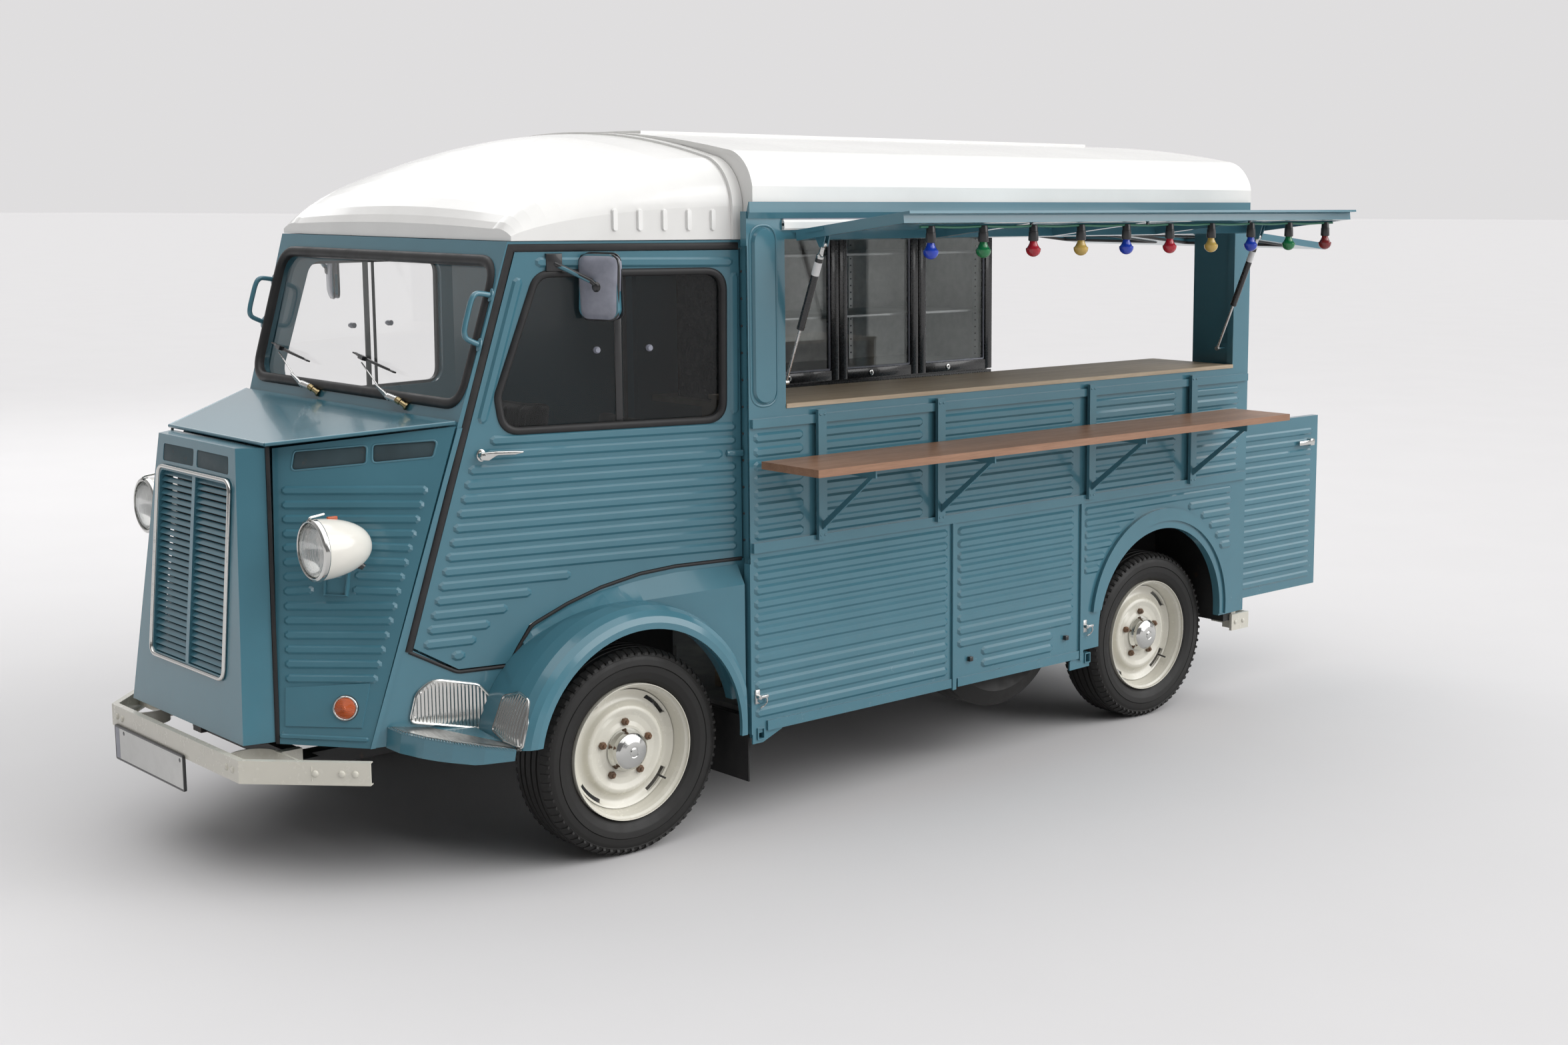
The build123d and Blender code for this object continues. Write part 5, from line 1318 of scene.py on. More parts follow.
def makeLamps():
    place = shifted(lampStyle["centre"])
    shell = revolved("lampShell", lampShell(), "lampCream", "body", segments=64, axis="Y", closed=False,
        at=place, smooth=50)
    ringLine = [(-0.004, 0.0815), (-0.006, 0.084, 0.002), (-0.002, 0.0925, 0.003), (0.01, 0.0945, 0.003),
        (0.014, 0.0925, 0.002), (0.008, 0.083)]
    ring = revolved("lampRing", roundedPath(ringLine, closed=True, steps=3), "chrome", "body", segments=72,
        axis="Y", closed=True, at=place, smooth=50)
    lensLine = [(-0.016, 0), (-0.0152, 0.02), (-0.0128, 0.04), (-0.0085, 0.06), (-0.001, 0.077),
        (0.004, 0.082), (0.008, 0.082), (0.003, 0.076),
                (-0.0045, 0.059), (-0.009, 0.04), (-0.0112, 0.02), (-0.012, 0)]
    lens = revolved("lampLens", lensLine, "lens", "body", segments=64, axis="Y", at=place, smooth=60)
    bowl = revolved("lampBowl", [(0.008, 0.082), (0.022, 0.076), (0.042, 0.058), (0.056, 0.036),
        (0.062, 0.014), (0.062, 0), (0.066, 0), (0.066, 0.016),
        (0.06, 0.04), (0.045, 0.064), (0.02, 0.082)], "chrome", "body", segments=48,
        axis="Y", at=place, smooth=60)
    bulb = revolved("lampBulb", [(0.062, 0.008), (0.04, 0.008), (0.032, 0.011), (0.022, 0.01), (0.016, 0.005),
        (0.015, 0)], "lens", "body", segments=20, axis="Y", at=place, smooth=60)
    clip = tubePiece("lampClip", [(0, -0.007, 0.086), (0, -0.006, 0.098), (0, 0.016, 0.1), (0, 0.042, 0.104)],
        0.0035, "chrome", "body", order=3)
    clip.data.transform(place)
    tell = placed("lampTell", boxMesh("lampTell", (-0.006, 0.05, 0.084), (0.006, 0.082, 0.0945), 0.003),
        "amber", "body", 40)
    tell.data.transform(place)
    grommet = revolved("lampGrommet", [(0, 0), (0, 0.013), (0.01, 0.014), (0.016, 0.01), (0.022, 0.01),
        (0.022, 0)], "black", "body", segments=24, axis="Z",
        at=barFrame((0.604, -0.764, 1.003), (0.622, -0.735, 0.975)), smooth=40)
    foot, head = quarterPoint(0.502, 0.966), Vector((0.58, -0.814, 0.997))
    arm = tubePiece("lampArm", [foot, foot.lerp(head, 0.3) + Vector((0, -0.004, 0)),
        foot.lerp(head, 0.7) + Vector((0, -0.002, 0.002)), head], 0.0156, "blue", "body", order=3)
    base = revolved("lampCollar", [(0, 0.022), (0.006, 0.022), (0.01, 0.018), (0.01, 0.0157), (0, 0.0157)],
        "blue", "body", segments=32, axis="Z", closed=True,
        at=barFrame(foot, head), smooth=40)
    for piece in (shell, ring, lens, bowl, bulb, clip, tell, grommet, arm, base):
        bothSides(piece)
    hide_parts("headlamps")
    makeIndicators()
    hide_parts("lamp_lenses")


def makeIndicators():
    x, z = lampStyle["indicator"]
    seat = quarterPlane.copy()
    seat.translation = quarterPoint(x, z)
    pieces = [
        revolved("indicatorPad", [(-0.002, 0), (-0.002, 0.041), (0.003, 0.041), (0.005, 0.038), (0.005, 0)],
        "seal", "body", segments=48, axis="Z", at=seat),
        revolved("indicatorRing", roundedPath([(0.003, 0.0385), (0.01, 0.0375, 0.003), (0.012, 0.034, 0.002),
        (0.01, 0.0315, 0.002), (0.003, 0.031)], closed=True, steps=3),
        "chrome", "body", segments=48, axis="Z", closed=True, at=seat),
        revolved("indicatorLens", roundedPath([(0.004, 0), (0.004, 0.0315), (0.01, 0.0318, 0.002),
        (0.014, 0.026, 0.006), (0.02, 0.014, 0.006), (0.0235, 0.0075, 0.002),
        (0.0265, 0.0055, 0.002), (0.0275, 0)], steps=3), "amber",
        "body", segments=48, axis="Z", at=seat),
    ]
    screw = repeated("indicatorScrews", domeMesh("indicatorScrew", 0.003, 0.0018, 8, 2),
        [((0.0345 * c, 0.0345 * s, 0.0115), (0, 0, 1), (1, 0, 0)) for c, s in ((0.98, 0.2), (-0.98, -0.2))],
        "steel", "body", at=seat)
    for x, z, radius, depth, kind in ((0.868, 0.705, 0.038, 0.026, "red"),
        (0.868, 0.618, 0.031, 0.022, "amber")):
        tail = shifted((x, 3.0065, z))
        name = "tail" + kind.capitalize()
        ringLine = [(0, 0), (0, radius + 0.002), (depth * 0.4, radius + 0.001),
            (depth * 0.4, radius - 0.005), (depth * 0.3, 0)]
        lensLine = [(depth * 0.3, 0), (depth * 0.3, radius - 0.004), (depth * 0.7, radius - 0.004),
            (depth * 0.92, radius - 0.01), (depth, 0)]
        pieces.append(revolved(name + "Ring", ringLine, "chrome", "body", segments=48, axis="Y", at=tail))
        pieces.append(revolved(name + "Lens", lensLine, kind, "body", segments=48, axis="Y", at=tail,
            smooth=50))
    for piece in pieces + [screw]:
        bothSides(piece)


def seatAt(plane, point):
    seat = plane.copy()
    seat.translation = Vector(point)
    return seat


def heads(name, places, facing, radius, rise, material, body, segments=10):
    spots = [(place, facing, (facing[2], facing[0], facing[1])) for place in places]
    return repeated(name, domeMesh(name + "Head", radius, rise, segments), spots, material, body)


# bright plates under the door and on the fender, and the step
plateStyle = {
    "kick": [(-0.647, 0.508, 0.02), (-0.419, 0.455, 0.02), (-0.396, 0.545, 0.04), (-0.437, 0.597, 0.04),
    (-0.577, 0.632, 0.06), (-0.626, 0.592, 0.04)],
    "fender": [(0.806, 14, 0.01), (0.88, 11.5, 0.008), (0.957, 10.5, 0.008), (0.956, 20, 0.012),
    (0.936, 29, 0.02), (0.885, 30.5, 0.02), (0.812, 27.5, 0.02)],
    "arch": (-0.008, 0.365), "rim": 0.0042, "flute": 0.0032,
}
stepEdge = [(0.646, -0.711), (0.712, -0.7), (0.779, -0.662), (0.846, -0.605), (0.908, -0.535),
    (0.958, -0.448)]


def spanAt(outline, across):
    hits = []
    for start, end in zip(outline, outline[1:] + outline[:1]):
        if min(start[0], end[0]) <= across <= max(start[0], end[0]) and abs(start[0] - end[0]) > 1e-9:
            hits.append(start[1] + (end[1] - start[1]) * (across - start[0]) / (end[0] - start[0]))
    return min(hits), max(hits)


def flutedPlate(name, outline, place, flutes, material, rows=12):
    # place turns (across, up, out) into a point; the flutes run upwards and fade at both ends
    low, high = min(p[0] for p in outline), max(p[0] for p in outline)
    columns, points, faces = flutes * 6, [], []
    for column in range(columns + 1):
        across = low + (high - low) * (0.001 + 0.998 * column / columns)
        bottom, top = spanAt(outline, across)
        wave = 0.5 - 0.5 * cos(2 * pi * flutes * column / columns)
        for row in range(rows + 1):
            fade = min(1, row / 2, (rows - row) / 2, column / 6, (columns - column) / 6)
            points.append(place(across, bottom + (top - bottom) * row / rows,
                0.0014 + plateStyle["flute"] * wave * fade))
    for column in range(columns):
        for row in range(rows):
            first = column * (rows + 1) + row
            faces.append((first, first + rows + 1, first + rows + 2, first + 1))
    sheet = meshPiece(name, points, faces, material, "body", 60)
    rim = tubePiece(name + "Rim", [place(*p[:2], 0.0015) for p in outline], plateStyle["rim"], "chrome",
        "body", closed=True, order=2, sides=8)
    return [sheet, rim]


def onFender(across, angle, out):
    # the fender's crown falls away towards its outer edge
    fall = [(0.69, 0.445), (0.76, 0.45), (0.82, 0.454), (0.88, 0.455), (0.93, 0.449), (0.958, 0.437),
        (0.973, 0.42), (0.98, 0.4)]
    for (x0, r0), (x1, r1) in zip(fall, fall[1:]):
        if x0 <= across <= x1:
            radius = r0 + (r1 - r0) * (across - x0) / (x1 - x0)
    turn = radians(angle)
    middleY, middleZ = plateStyle["arch"]
    return Vector((across, middleY - (radius + out) * cos(turn), middleZ + (radius + out) * sin(turn)))


def stepFace(x, y, out=0.0):
    origin, along, other = Vector((0.646, -0.711, 0.5)), Vector((0.958, -0.448, 0.44)), Vector((0.72, -0.395,
        0.453))
    normal = (along - origin).cross(other - origin).normalized()
    z = origin.z - (normal.x * (x - origin.x) + normal.y * (y - origin.y)) / normal.z
    return Vector((x, y, z)) + normal * out


def makePlates():
    outline = roundedPath([(*p[:2], p[2]) for p in plateStyle["kick"]], closed=True, steps=4)
    pieces = flutedPlate("kickPlate", [tuple(p) for p in outline], lambda y, z,
        out: sidePoint(y, z, 0.003 + out), 22, "chrome")
    scaled = [(x, a / 100, r) for x, a, r in plateStyle["fender"]]
    outline = [tuple(p) for p in roundedPath(scaled, closed=True, steps=4)]
    pieces += flutedPlate("fenderPlate", outline, lambda x, a, out: onFender(x, a * 100, out), 12, "chrome")
    inner = [(0.655, -0.64), (0.704, -0.452), (0.945, -0.452)]
    outline = [stepFace(x - 0.01, y + 0.012) for x, y in stepEdge] + [stepFace(x, y) for x,
        y in reversed(inner)]
    shape = planeFrame(stepFace(0.7, -0.6), stepFace(0.8, -0.6), stepFace(0.7, -0.5))
    flat = [onPlane(shape, p) for p in outline]
    pieces.append(sheetPiece("stepTread", flat, 0.003, "tread", "body", at=shifted((0, 0, 0.0022)) @ shape))
    strands = []
    for start, end in zip(stepEdge, stepEdge[1:]):
        start, end = stepFace(*start), stepFace(*end)
        across = (end - start).normalized().cross(Vector((0, 0, 1)))
        count = round((end - start).length / 0.0088)
        for index in range(count):
            middle = start.lerp(end, (index + 0.5) / count) - across * 0.008
            lean = (end - start).normalized() * 0.005
            strands.append((onPlane(shape, middle - across * 0.0085 - lean),
                onPlane(shape, middle + across * 0.0085 + lean)))
    pieces.append(beads("stepRope", strands, 0.0046, 0.0042, "tread", "body", shifted((0, 0, 0.0016)) @ shape,
        ends=0.006, steps=6))
    screws = [sidePoint(y, z, 0.0042) for y, z in ((-0.632, 0.519), (-0.612, 0.592), (-0.428, 0.47),
        (-0.412, 0.545), (-0.572, 0.618))]
    pieces.append(heads("kickScrews", screws, tuple(sideOut), 0.0045, 0.002, "steel", "body"))
    for piece in pieces:
        bothSides(piece)


# bumpers, blank plate, wipers, latch
def makeFront():
    plate = boxMesh("blankPlate", (-0.4275, -1.1026, 0.2645), (0.0875, -1.1016, 0.3695))
    placed("blankPlate", plate, "plate", "body")
    corners = [(-0.43, 0.262, 0.006), (0.09, 0.262, 0.006), (0.09, 0.372, 0.006), (-0.43, 0.372, 0.006)]
    upright = planeFrame((0, -1.102, 0), (1, -1.102, 0), (0, -1.102, 1))
    band("plateRim", grown(roundedPath(corners, closed=True), -0.001), 0.008, 0.0012, "black", "body",
        upright, closed=True, sink=0.0075)
    placed("plateStrip", boxMesh("plateStrip", (-0.4255, -1.1029, 0.2665), (-0.395, -1.1024, 0.3675)), "grey",
        "body")
    heads("plateBolts", [(x, -1.1024, 0.356) for x in (-0.36, 0.068)], (0, -1, 0), 0.0075, 0.0011, "black",
        "body")
    out = Vector((0.6793, -0.7339, 0)).normalized()
    along = Vector((-0.289, -0.267, 0)).normalized()
    wing = [Vector((0.755, -0.828, 0.4)) + along * step + out * 0.0003 for step in (0.045, 0.085, 0.165)]
    spots = [(p, tuple(out), (0, 0, 1)) for p in wing] + [((x, -1.0952, 0.4), (0, -1, 0), (0, 0, 1))
        for x in (0.385, 0.425)]
    bothSides(repeated("bumperBolts", domeMesh("bumperBolt", 0.011, 0.006, 16), spots, "cream", "body"))
    rear = [(0.9605, 2.985, 0.327), (0.9605, 3.035, 0.327)]
    bothSides(heads("rearBumperBolts", rear, (1, 0, 0), 0.01, 0.005, "cream", "body", 14))
    tubePiece("noseLatch", [(-0.02, -1.022, 0.385), (0.02, -1.028, 0.385), (0.06, -1.032, 0.379),
        (0.085, -1.034, 0.372)], 0.006, "steel", "body")
    for side, shift in (("Left", 0.0), ("Right", -0.583)):
        makeWiper("wiper" + side, shift)


def makeWiper(name, shift):
    # points are (across, height, out of the windscreen's plane)
    def spot(x, z, out):
        return frontPoint(x + shift, z, out)
    stud, pivot = spot(0.388, 1.431, 0.002), spot(0.361, 1.445, 0.026)
    hub, wide, joint = spot(0.305, 1.452, 0.03), spot(0.222, 1.481, 0.029), spot(0.077, 1.543, 0.022)
    revolved(name + "Stud", [(0, 0), (0, 0.013), (0.006, 0.013), (0.008, 0.009), (0.026, 0.008),
        (0.028, 0.011), (0.04, 0.011), (0.042, 0)], "brass", "body",
             segments=20, axis="Z", at=barFrame(stud, pivot))
    placed(name + "Hub", tubeMesh(name, [pivot, pivot.lerp(hub, 0.5), hub], 0.0105, order=2, sides=12),
        "steel", "body", 40)
    arm = planeFrame(hub, wide, hub + Vector((0, -0.3, 1)))
    reach = (wide - hub).length
    sheetPiece(name + "Arm", [(-0.012, -0.01), (0.012, -0.0115), (reach, -0.0045), (reach, 0.0045),
        (0.012, 0.0115), (-0.012, 0.01)], 0.006, "steel", "body", rim=0.002, at=arm)
    tubePiece(name + "Rod", [wide - (wide - hub) * 0.1, joint], 0.0023, "steel", "body", order=2)
    start, end = spot(-0.024, 1.571, 0.006), spot(0.261, 1.526, 0.006)
    blade = planeFrame(start, end, start + frontOut)
    length = (end - start).length
    strip = sheetMesh(name, [(0, -0.01), (length, -0.01), (length, 0.003), (0, 0.003)], 0.005, 0.001, blade)
    bridge = sheetMesh(name, [(0.02, 0.003), (0.05, 0.012), (0.13, 0.021), (0.17, 0.021),
        (length - 0.05, 0.01), (length - 0.02, 0.003), (length * 0.7, 0.004), (0.15, 0.013), (0.1, 0.004)],
        0.008, 0.001, blade)
    clamp = sheetMesh(name, [(0.085, 0.012), (0.125, 0.012), (0.125, 0.03), (0.09, 0.028)], 0.014, 0.002,
        shifted(tuple(blade.to_3x3().col[2] * 0.003)) @ blade)
    joined(name + "Blade", [strip, bridge, clamp], "black", "body", 30)


# handles, mirrors and the sliding panes of the doors
def makeDoorTrim():
    pieces = []
    rose = revolvedMesh("doorRose", [(0, 0.019), (0.0045, 0.0185), (0.0062, 0.015), (0.0066, 0)], 32, "Z")
    rose.transform(Matrix.Diagonal((0.74, 1.02, 1, 1)))
    seat = seatAt(sidePlane, sidePoint(-0.409, 1.305))
    rose.transform(seat)
    pieces.append(placed("doorRose", rose, "chrome", "door_left", 40))
    neck = revolvedMesh("neck", [(0.004, 0), (0.004, 0.0125), (0.01, 0.0108), (0.028, 0.0108),
        (0.0355, 0.008), (0.037, 0)], 24, "Z")
    outline = [(-0.013, -0.002, 0.006), (-0.009, -0.012, 0.006), (0.014, -0.0145, 0.01), (0.04, 0.0005, 0.02),
        (0.096, -0.001, 0.03), (0.123, 0.004, 0.004), (0.123, 0.0095, 0.004),
               (0.096, 0.0115, 0.02), (0.04, 0.0135, 0.02), (-0.009, 0.0115, 0.006)]
    lever = sheetMesh("lever", [tuple(p) for p in roundedPath(outline, closed=True, steps=4)], 0.0105, 0.0032,
        shifted((0, 0, 0.0355)), steps=3)
    for mesh in (neck, lever):
        mesh.transform(seat)
    pieces.append(joined("doorLever", [neck, lever], "chrome", "door_left", 50))
    pieces.append(heads("doorRoseScrews", [seat @ Vector((0, side * 0.0135, 0.0055)) for side in (-1, 1)],
        tuple(sideOut), 0.0022, 0.001, "black", "door_left", 8))
    bulb = barFrame(sidePoint(0.374, 1.261), sidePoint(0.436, 1.259))
    pieces.append(revolved("hingeFairing", [(0, 0), (0.004, 0.0085), (0.014, 0.0117), (0.034, 0.0122),
        (0.038, 0.0118), (0.04, 0)], "blue", "door_left", segments=24, axis="Z", at=bulb))
    barLine = [sidePoint(0.03, 1.376, -0.012), sidePoint(0.03, 1.846, -0.012)]
    pieces.append(bar4("paneRail", barLine[0], barLine[1], 0.022, 0.006, sideOut, "black", "door_left"))
    pieces.append(bar4("paneEdge", sidePoint(0.056, 1.376, -0.022), sidePoint(0.056, 1.846, -0.022), 0.012,
        0.004, sideOut, "seal", "door_left"))
    knobs = [(-0.038, 1.61), (0.131, 1.611)]
    for index, (y, z) in enumerate(knobs):
        knob = [(-0.03, 0), (-0.03, 0.01), (-0.014, 0.011), (-0.01, 0.008), (-0.004, 0.0075), (-0.003, 0)]
        pieces.append(revolved("paneKnob%d" % index, knob, "grey", "door_left", segments=20, axis="Z",
            at=seatAt(sidePlane, sidePoint(y, z, 0.002))))
    pieces += makeMirror()
    studs = [sidePoint(0.436, 1.847 - 0.0876 * index, 0.001) for index in range(11)]
    pieces.append(heads("seamStuds", studs, tuple(sideOut), 0.0045, 0.004, "black", "body", 8))
    for z in (1.64, 1.788):
        foot = revolvedMesh("foot", [(0, 0.021), (0.003, 0.021), (0.005, 0.018), (0.0055, 0)], 24, "Z")
        foot.transform(Matrix.Diagonal((0.62, 1, 1, 1)))
        foot.transform(seatAt(frontPlane, frontPoint(0.718, z)))
        pieces.append(placed("grabFoot%d" % round(z * 1000), foot, "blue", "body", 40))
    handle = [frontPoint(0.718, 1.64 + 0.148 * share, out) for share,
        out in ((0, -0.002), (0.02, 0.03), (0.06, 0.055), (0.22, 0.062), (0.5, 0.062), (0.78, 0.062),
        (0.94, 0.055), (0.98, 0.03), (1, -0.002))]
    pieces.append(tubePiece("grabHandle", handle, 0.0083, "blue", "body", order=3, sides=16))
    for piece in pieces:
        bothSides(piece, "door_right" if piece["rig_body"] == "door_left" else "body")


def makeMirror():
    place = Matrix((Vector((cos(0.35), sin(0.35), 0)), Vector((0, 0, 1)),
        Vector((sin(0.35), -cos(0.35), 0)))).transposed().to_4x4()
    place.translation = Vector((0.866, -0.076, 1.81))
    outline = roundedPath([(-0.067, -0.101, 0.032), (0.067, -0.101, 0.032), (0.075, 0.097, 0.032),
        (-0.075, 0.097, 0.032)], closed=True, steps=8)
    rings, points, faces = [(1.0, -0.0225), (1.0, -0.004), (0.965, 0.0005), (0.8, 0.006), (0.5, 0.0085),
        (0.2, 0.0095)], [], []
    for share, out in rings:
        points += [place @ Vector((p.x * share, p.y * share, out)) for p in outline]
    count = len(outline)
    for ring in range(len(rings) - 1):
        for k in range(count):
            a, b = ring * count + k, ring * count + (k + 1) % count
            faces.append((a, b, b + count, a + count))
    faces.append([(len(rings) - 1) * count + k for k in range(count)])
    shell = meshPiece("mirrorShell", points, faces, "grey", "door_left", 50)
    tidied(shell.data)
    softenEdges(shell.data, 50)
    back = place @ shifted((0, 0, -0.0225))
    edge = tubePiece("mirrorEdge", [place @ Vector((p[0], p[1], -0.006))
        for p in grown(outline, 0.0005)][::3], 0.0044, "black", "door_left", closed=True, order=2, sides=8)
    rim = band("mirrorRim", grown(outline, -0.001), 0.011, 0.004, "black", "door_left",
        back @ Matrix.Rotation(pi, 4, "X"), closed=True, sink=0.004)
    pane = sheetPiece("mirrorGlass", [tuple(p * 0.96) for p in outline], 0.0012, "mirror", "door_left",
        at=back @ Matrix.Rotation(pi, 4, "X") @ shifted((0, 0, 0.0006)))
    arm = [(cabX(-0.172) + 0.006, -0.172, 1.88), (0.8, -0.15, 1.866), (0.862, -0.1, 1.83),
        (0.868, -0.08, 1.812)]
    bar = tubePiece("mirrorArm", [Vector(p) for p in arm], 0.0078, "black", "door_left", order=2, sides=14)
    boss = revolved("mirrorBoss", [(0.004, 0.016), (0.01, 0.016), (0.016, 0.011), (0.018, 0)], "black",
        "door_left", segments=24, axis="Z", at=place)
    foot = sheetPiece("mirrorFoot", [onPlane(sidePlane, sidePoint(y, z)) for y,
        z in ((-0.198, 1.857), (-0.148, 1.857), (-0.148, 1.911), (-0.198, 1.911))], 0.011, "black",
        "door_left",
        rim=0.003, at=seatAt(sidePlane, sidePlane.translation + sideOut * 0.0105))
    return [shell, edge, rim, pane, bar, boss, foot]


# load body, shelf and serving hatch
bodyStyle = {
    "pill": (0.477, 1.704, 0.57, 0.096), "latches": (0.433, 2.026), "lugs": (1.407, 1.916),
    "posts": (0.701, 1.246, 2.035, 2.637),
    "strutYs": (0.606, 2.865), "strutHead": (1.125, 1.936), "strutFoot": (0.93, 1.48),
    "bulbX": 1.5, "bulbFirst": 0.725, "bulbPitch": 2.068 / 9, "cableZ": 1.996,
    "bulbs": ("Blue", "Green", "Red", "Yellow", "Blue", "Red", "Yellow", "Blue", "Green", "Maroon"),
}


def makeBodyTrim():
    middleY, middleZ, length, width = bodyStyle["pill"]
    half, reach = width / 2, length / 2
    corners = [(middleY - half, middleZ - reach, half), (middleY + half, middleZ - reach, half),
        (middleY + half, middleZ + reach, half), (middleY - half, middleZ + reach, half)]
    ring = grown(roundedPath(corners, closed=True, steps=10), 0.006)
    band("pillRing", ring, 0.009, 0.003, "blue", "body", bodySide, closed=True)
    for index, y in enumerate(bodyStyle["latches"]):
        plate = boxMesh("plate", (0.9775, y - 0.0098, 0.4312), (0.9828, y + 0.0098, 0.4788), 0.0015)
        boss = revolvedMesh("boss", [(0.981, 0), (0.981, 0.0078), (0.997, 0.0078), (0.9988, 0.006),
            (0.9988, 0)], 20, "X", place=(0, y, 0.455))
        tongue = boxMesh("tongue", (0.9894, y - 0.0048, 0.4502), (0.9966, y + 0.035, 0.4598), 0.002)
        loop = tubeMesh("loop", [(0.993, y + 0.02, 0.455), (0.994, y + 0.034, 0.446),
            (0.9925, y + 0.024, 0.424), (0.988, y + 0.006, 0.418)], 0.0026, order=3)
        joined("panelLatch%d" % index, [plate, boss, tongue, loop], "steel", "body", 40)
    for index, y in enumerate(bodyStyle["lugs"]):
        placed("panelLug%d" % index, boxMesh("lug", (0.9775, y - 0.0088, 0.4182),
            (0.9926, y + 0.0088, 0.4358), 0.002), "black", "body", 30)
    rivets = [(1.0031, y + side * 0.009, z) for y in bodyStyle["posts"] for z in (0.966, 1.372)
        for side in (-1, 1)]
    heads("postRivets", rivets, (1, 0, 0), 0.0045, 0.002, "blue", "body", 10)
    heads("postBolts", [(1.0031, y, 1.199) for y in bodyStyle["posts"]], (1, 0, 0), 0.008, 0.004, "steel",
        "body", 6)
    placed("cassetteStrip", boxMesh("cassetteStrip", (0.9779, 0.556, 2.0131), (0.986, 2.905, 2.0165), 0.001),
        "grey", "body", 30)
    # a thin black disc on the cassette's end: painted shade for its hole
    hole = [(-0.0006, 0), (-0.0006, 0.0052), (0.0004, 0.0058), (0.0004, 0)]
    revolved("cassetteHole", hole, "black", "body", segments=20, axis="Y", place=(0.984, 0.556, 1.997))
    screws = [(0.984, 0.5559, z) for z in (1.985, 2.008)]
    heads("cassetteScrews", screws, (0, -1, 0), 0.002, 0.0012, "steel", "body", 8)
    makeStruts()
    makeLights()


def makeStruts():
    head, foot = [Vector((x, 0, z)) for x, z in (bodyStyle["strutHead"], bodyStyle["strutFoot"])]
    way = (foot - head).normalized()
    for index, y in enumerate(bodyStyle["strutYs"]):
        top = head + Vector((0, y, 0))
        at = barFrame(top, top + way)
        collar = [(0.0, 0), (0.0, 0.0076), (0.03, 0.0078), (0.038, 0.01), (0.0405, 0.0131), (0.048, 0.0131),
            (0.0482, 0.0126), (0.0482, 0)]
        eye = revolvedMesh("eye", [(-0.0066, 0.0042), (-0.0066, 0.011), (-0.005, 0.0118), (0.005, 0.0118),
            (0.0066, 0.011), (0.0066, 0.0042)], 28, "Y", True, place=top)
        neck = revolvedMesh("neck", collar, 24, "Z")
        neck.transform(at)
        joined("strutEye%d" % index, [eye, neck], "steel", "strut_cylinders", 40)
        label = revolvedMesh("label", [(0.062, 0.0127), (0.062, 0.01305), (0.108, 0.01305), (0.108, 0.0127)],
            28, "Z")
        label.transform(at)
        placed("strutLabel%d" % index, label, "label", "strut_cylinders", 40)
        gland = revolvedMesh("gland", [(0.292, 0.0126), (0.292, 0.0132), (0.302, 0.0128), (0.3035, 0.01),
            (0.3035, 0.0052)], 28, "Z")
        gland.transform(at)
        placed("strutGland%d" % index, gland, "black", "strut_cylinders", 40)


def makeLights():
    x, z, first, pitch = (bodyStyle[key] for key in ("bulbX", "cableZ", "bulbFirst", "bulbPitch"))
    places = [first + pitch * index for index in range(len(bodyStyle["bulbs"]))]
    line = [(x, places[0] - 0.045, z)] + [(x, y + step, z - sag) for y in places for step,
        sag in ((-0.02, 0), (0.02, 0), (0.115, 0.0035))][:-1] + [(x, places[-1] + 0.045, z)]
    cable = tubePiece("lightCable", line, 0.0042, "cable", "hatch", order=3, sides=12, resolution=3)
    holder = [(0.003, 0), (0.003, 0.0125), (-0.004, 0.0142), (-0.018, 0.0146), (-0.019, 0.0158),
        (-0.045, 0.0168), (-0.049, 0.016), (-0.05, 0.0125), (-0.05, 0)]
    shape = revolvedMesh("holder", holder, 24, "Z")
    softenEdges(shape, 40)
    holders = repeated("bulbHolders", shape, [((x, y, z), (0, 0, 1), (1, 0, 0)) for y in places], "black",
        "hatch")
    bulb = [(-0.05, 0.0118), (-0.056, 0.0128), (-0.064, 0.0165), (-0.072, 0.0215)]
    bulb += [(-0.0765 - 0.0245 * sin(angle), 0.0248 * cos(angle))
        for angle in [radians(-8 + 98 * k / 10) for k in range(10)]] + [(-0.101, 0)]
    glass = revolvedMesh("bulb", bulb, 28, "Z")
    softenEdges(glass, 60)
    for colour in dict.fromkeys(bodyStyle["bulbs"]):
        spots = [((x, y, z), (0, 0, 1), (1, 0, 0)) for y,
            kind in zip(places, bodyStyle["bulbs"]) if kind == colour]
        repeated("bulbs" + colour, glass.copy(), spots, "bulb" + colour, "hatch")
    clips = [boxMesh("clip", (x - 0.0036, y + 0.0095, z - 0.005), (x + 0.0036, y + 0.0205, 2.0034), 0.001)
        for y in (1.16, 1.74, 2.31)]
    joined("cableClips", clips, "black", "hatch", 30)
    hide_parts("light_string")
    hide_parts("light_string")


# cooler behind the hatch
coolerStyle = {"front": -0.3, "back": -0.82, "y": (1.443, 2.793), "z": (1.25, 2.146), "frame": 0.042,
    "depth": 0.034, "shelves": (1.58, 1.84)}


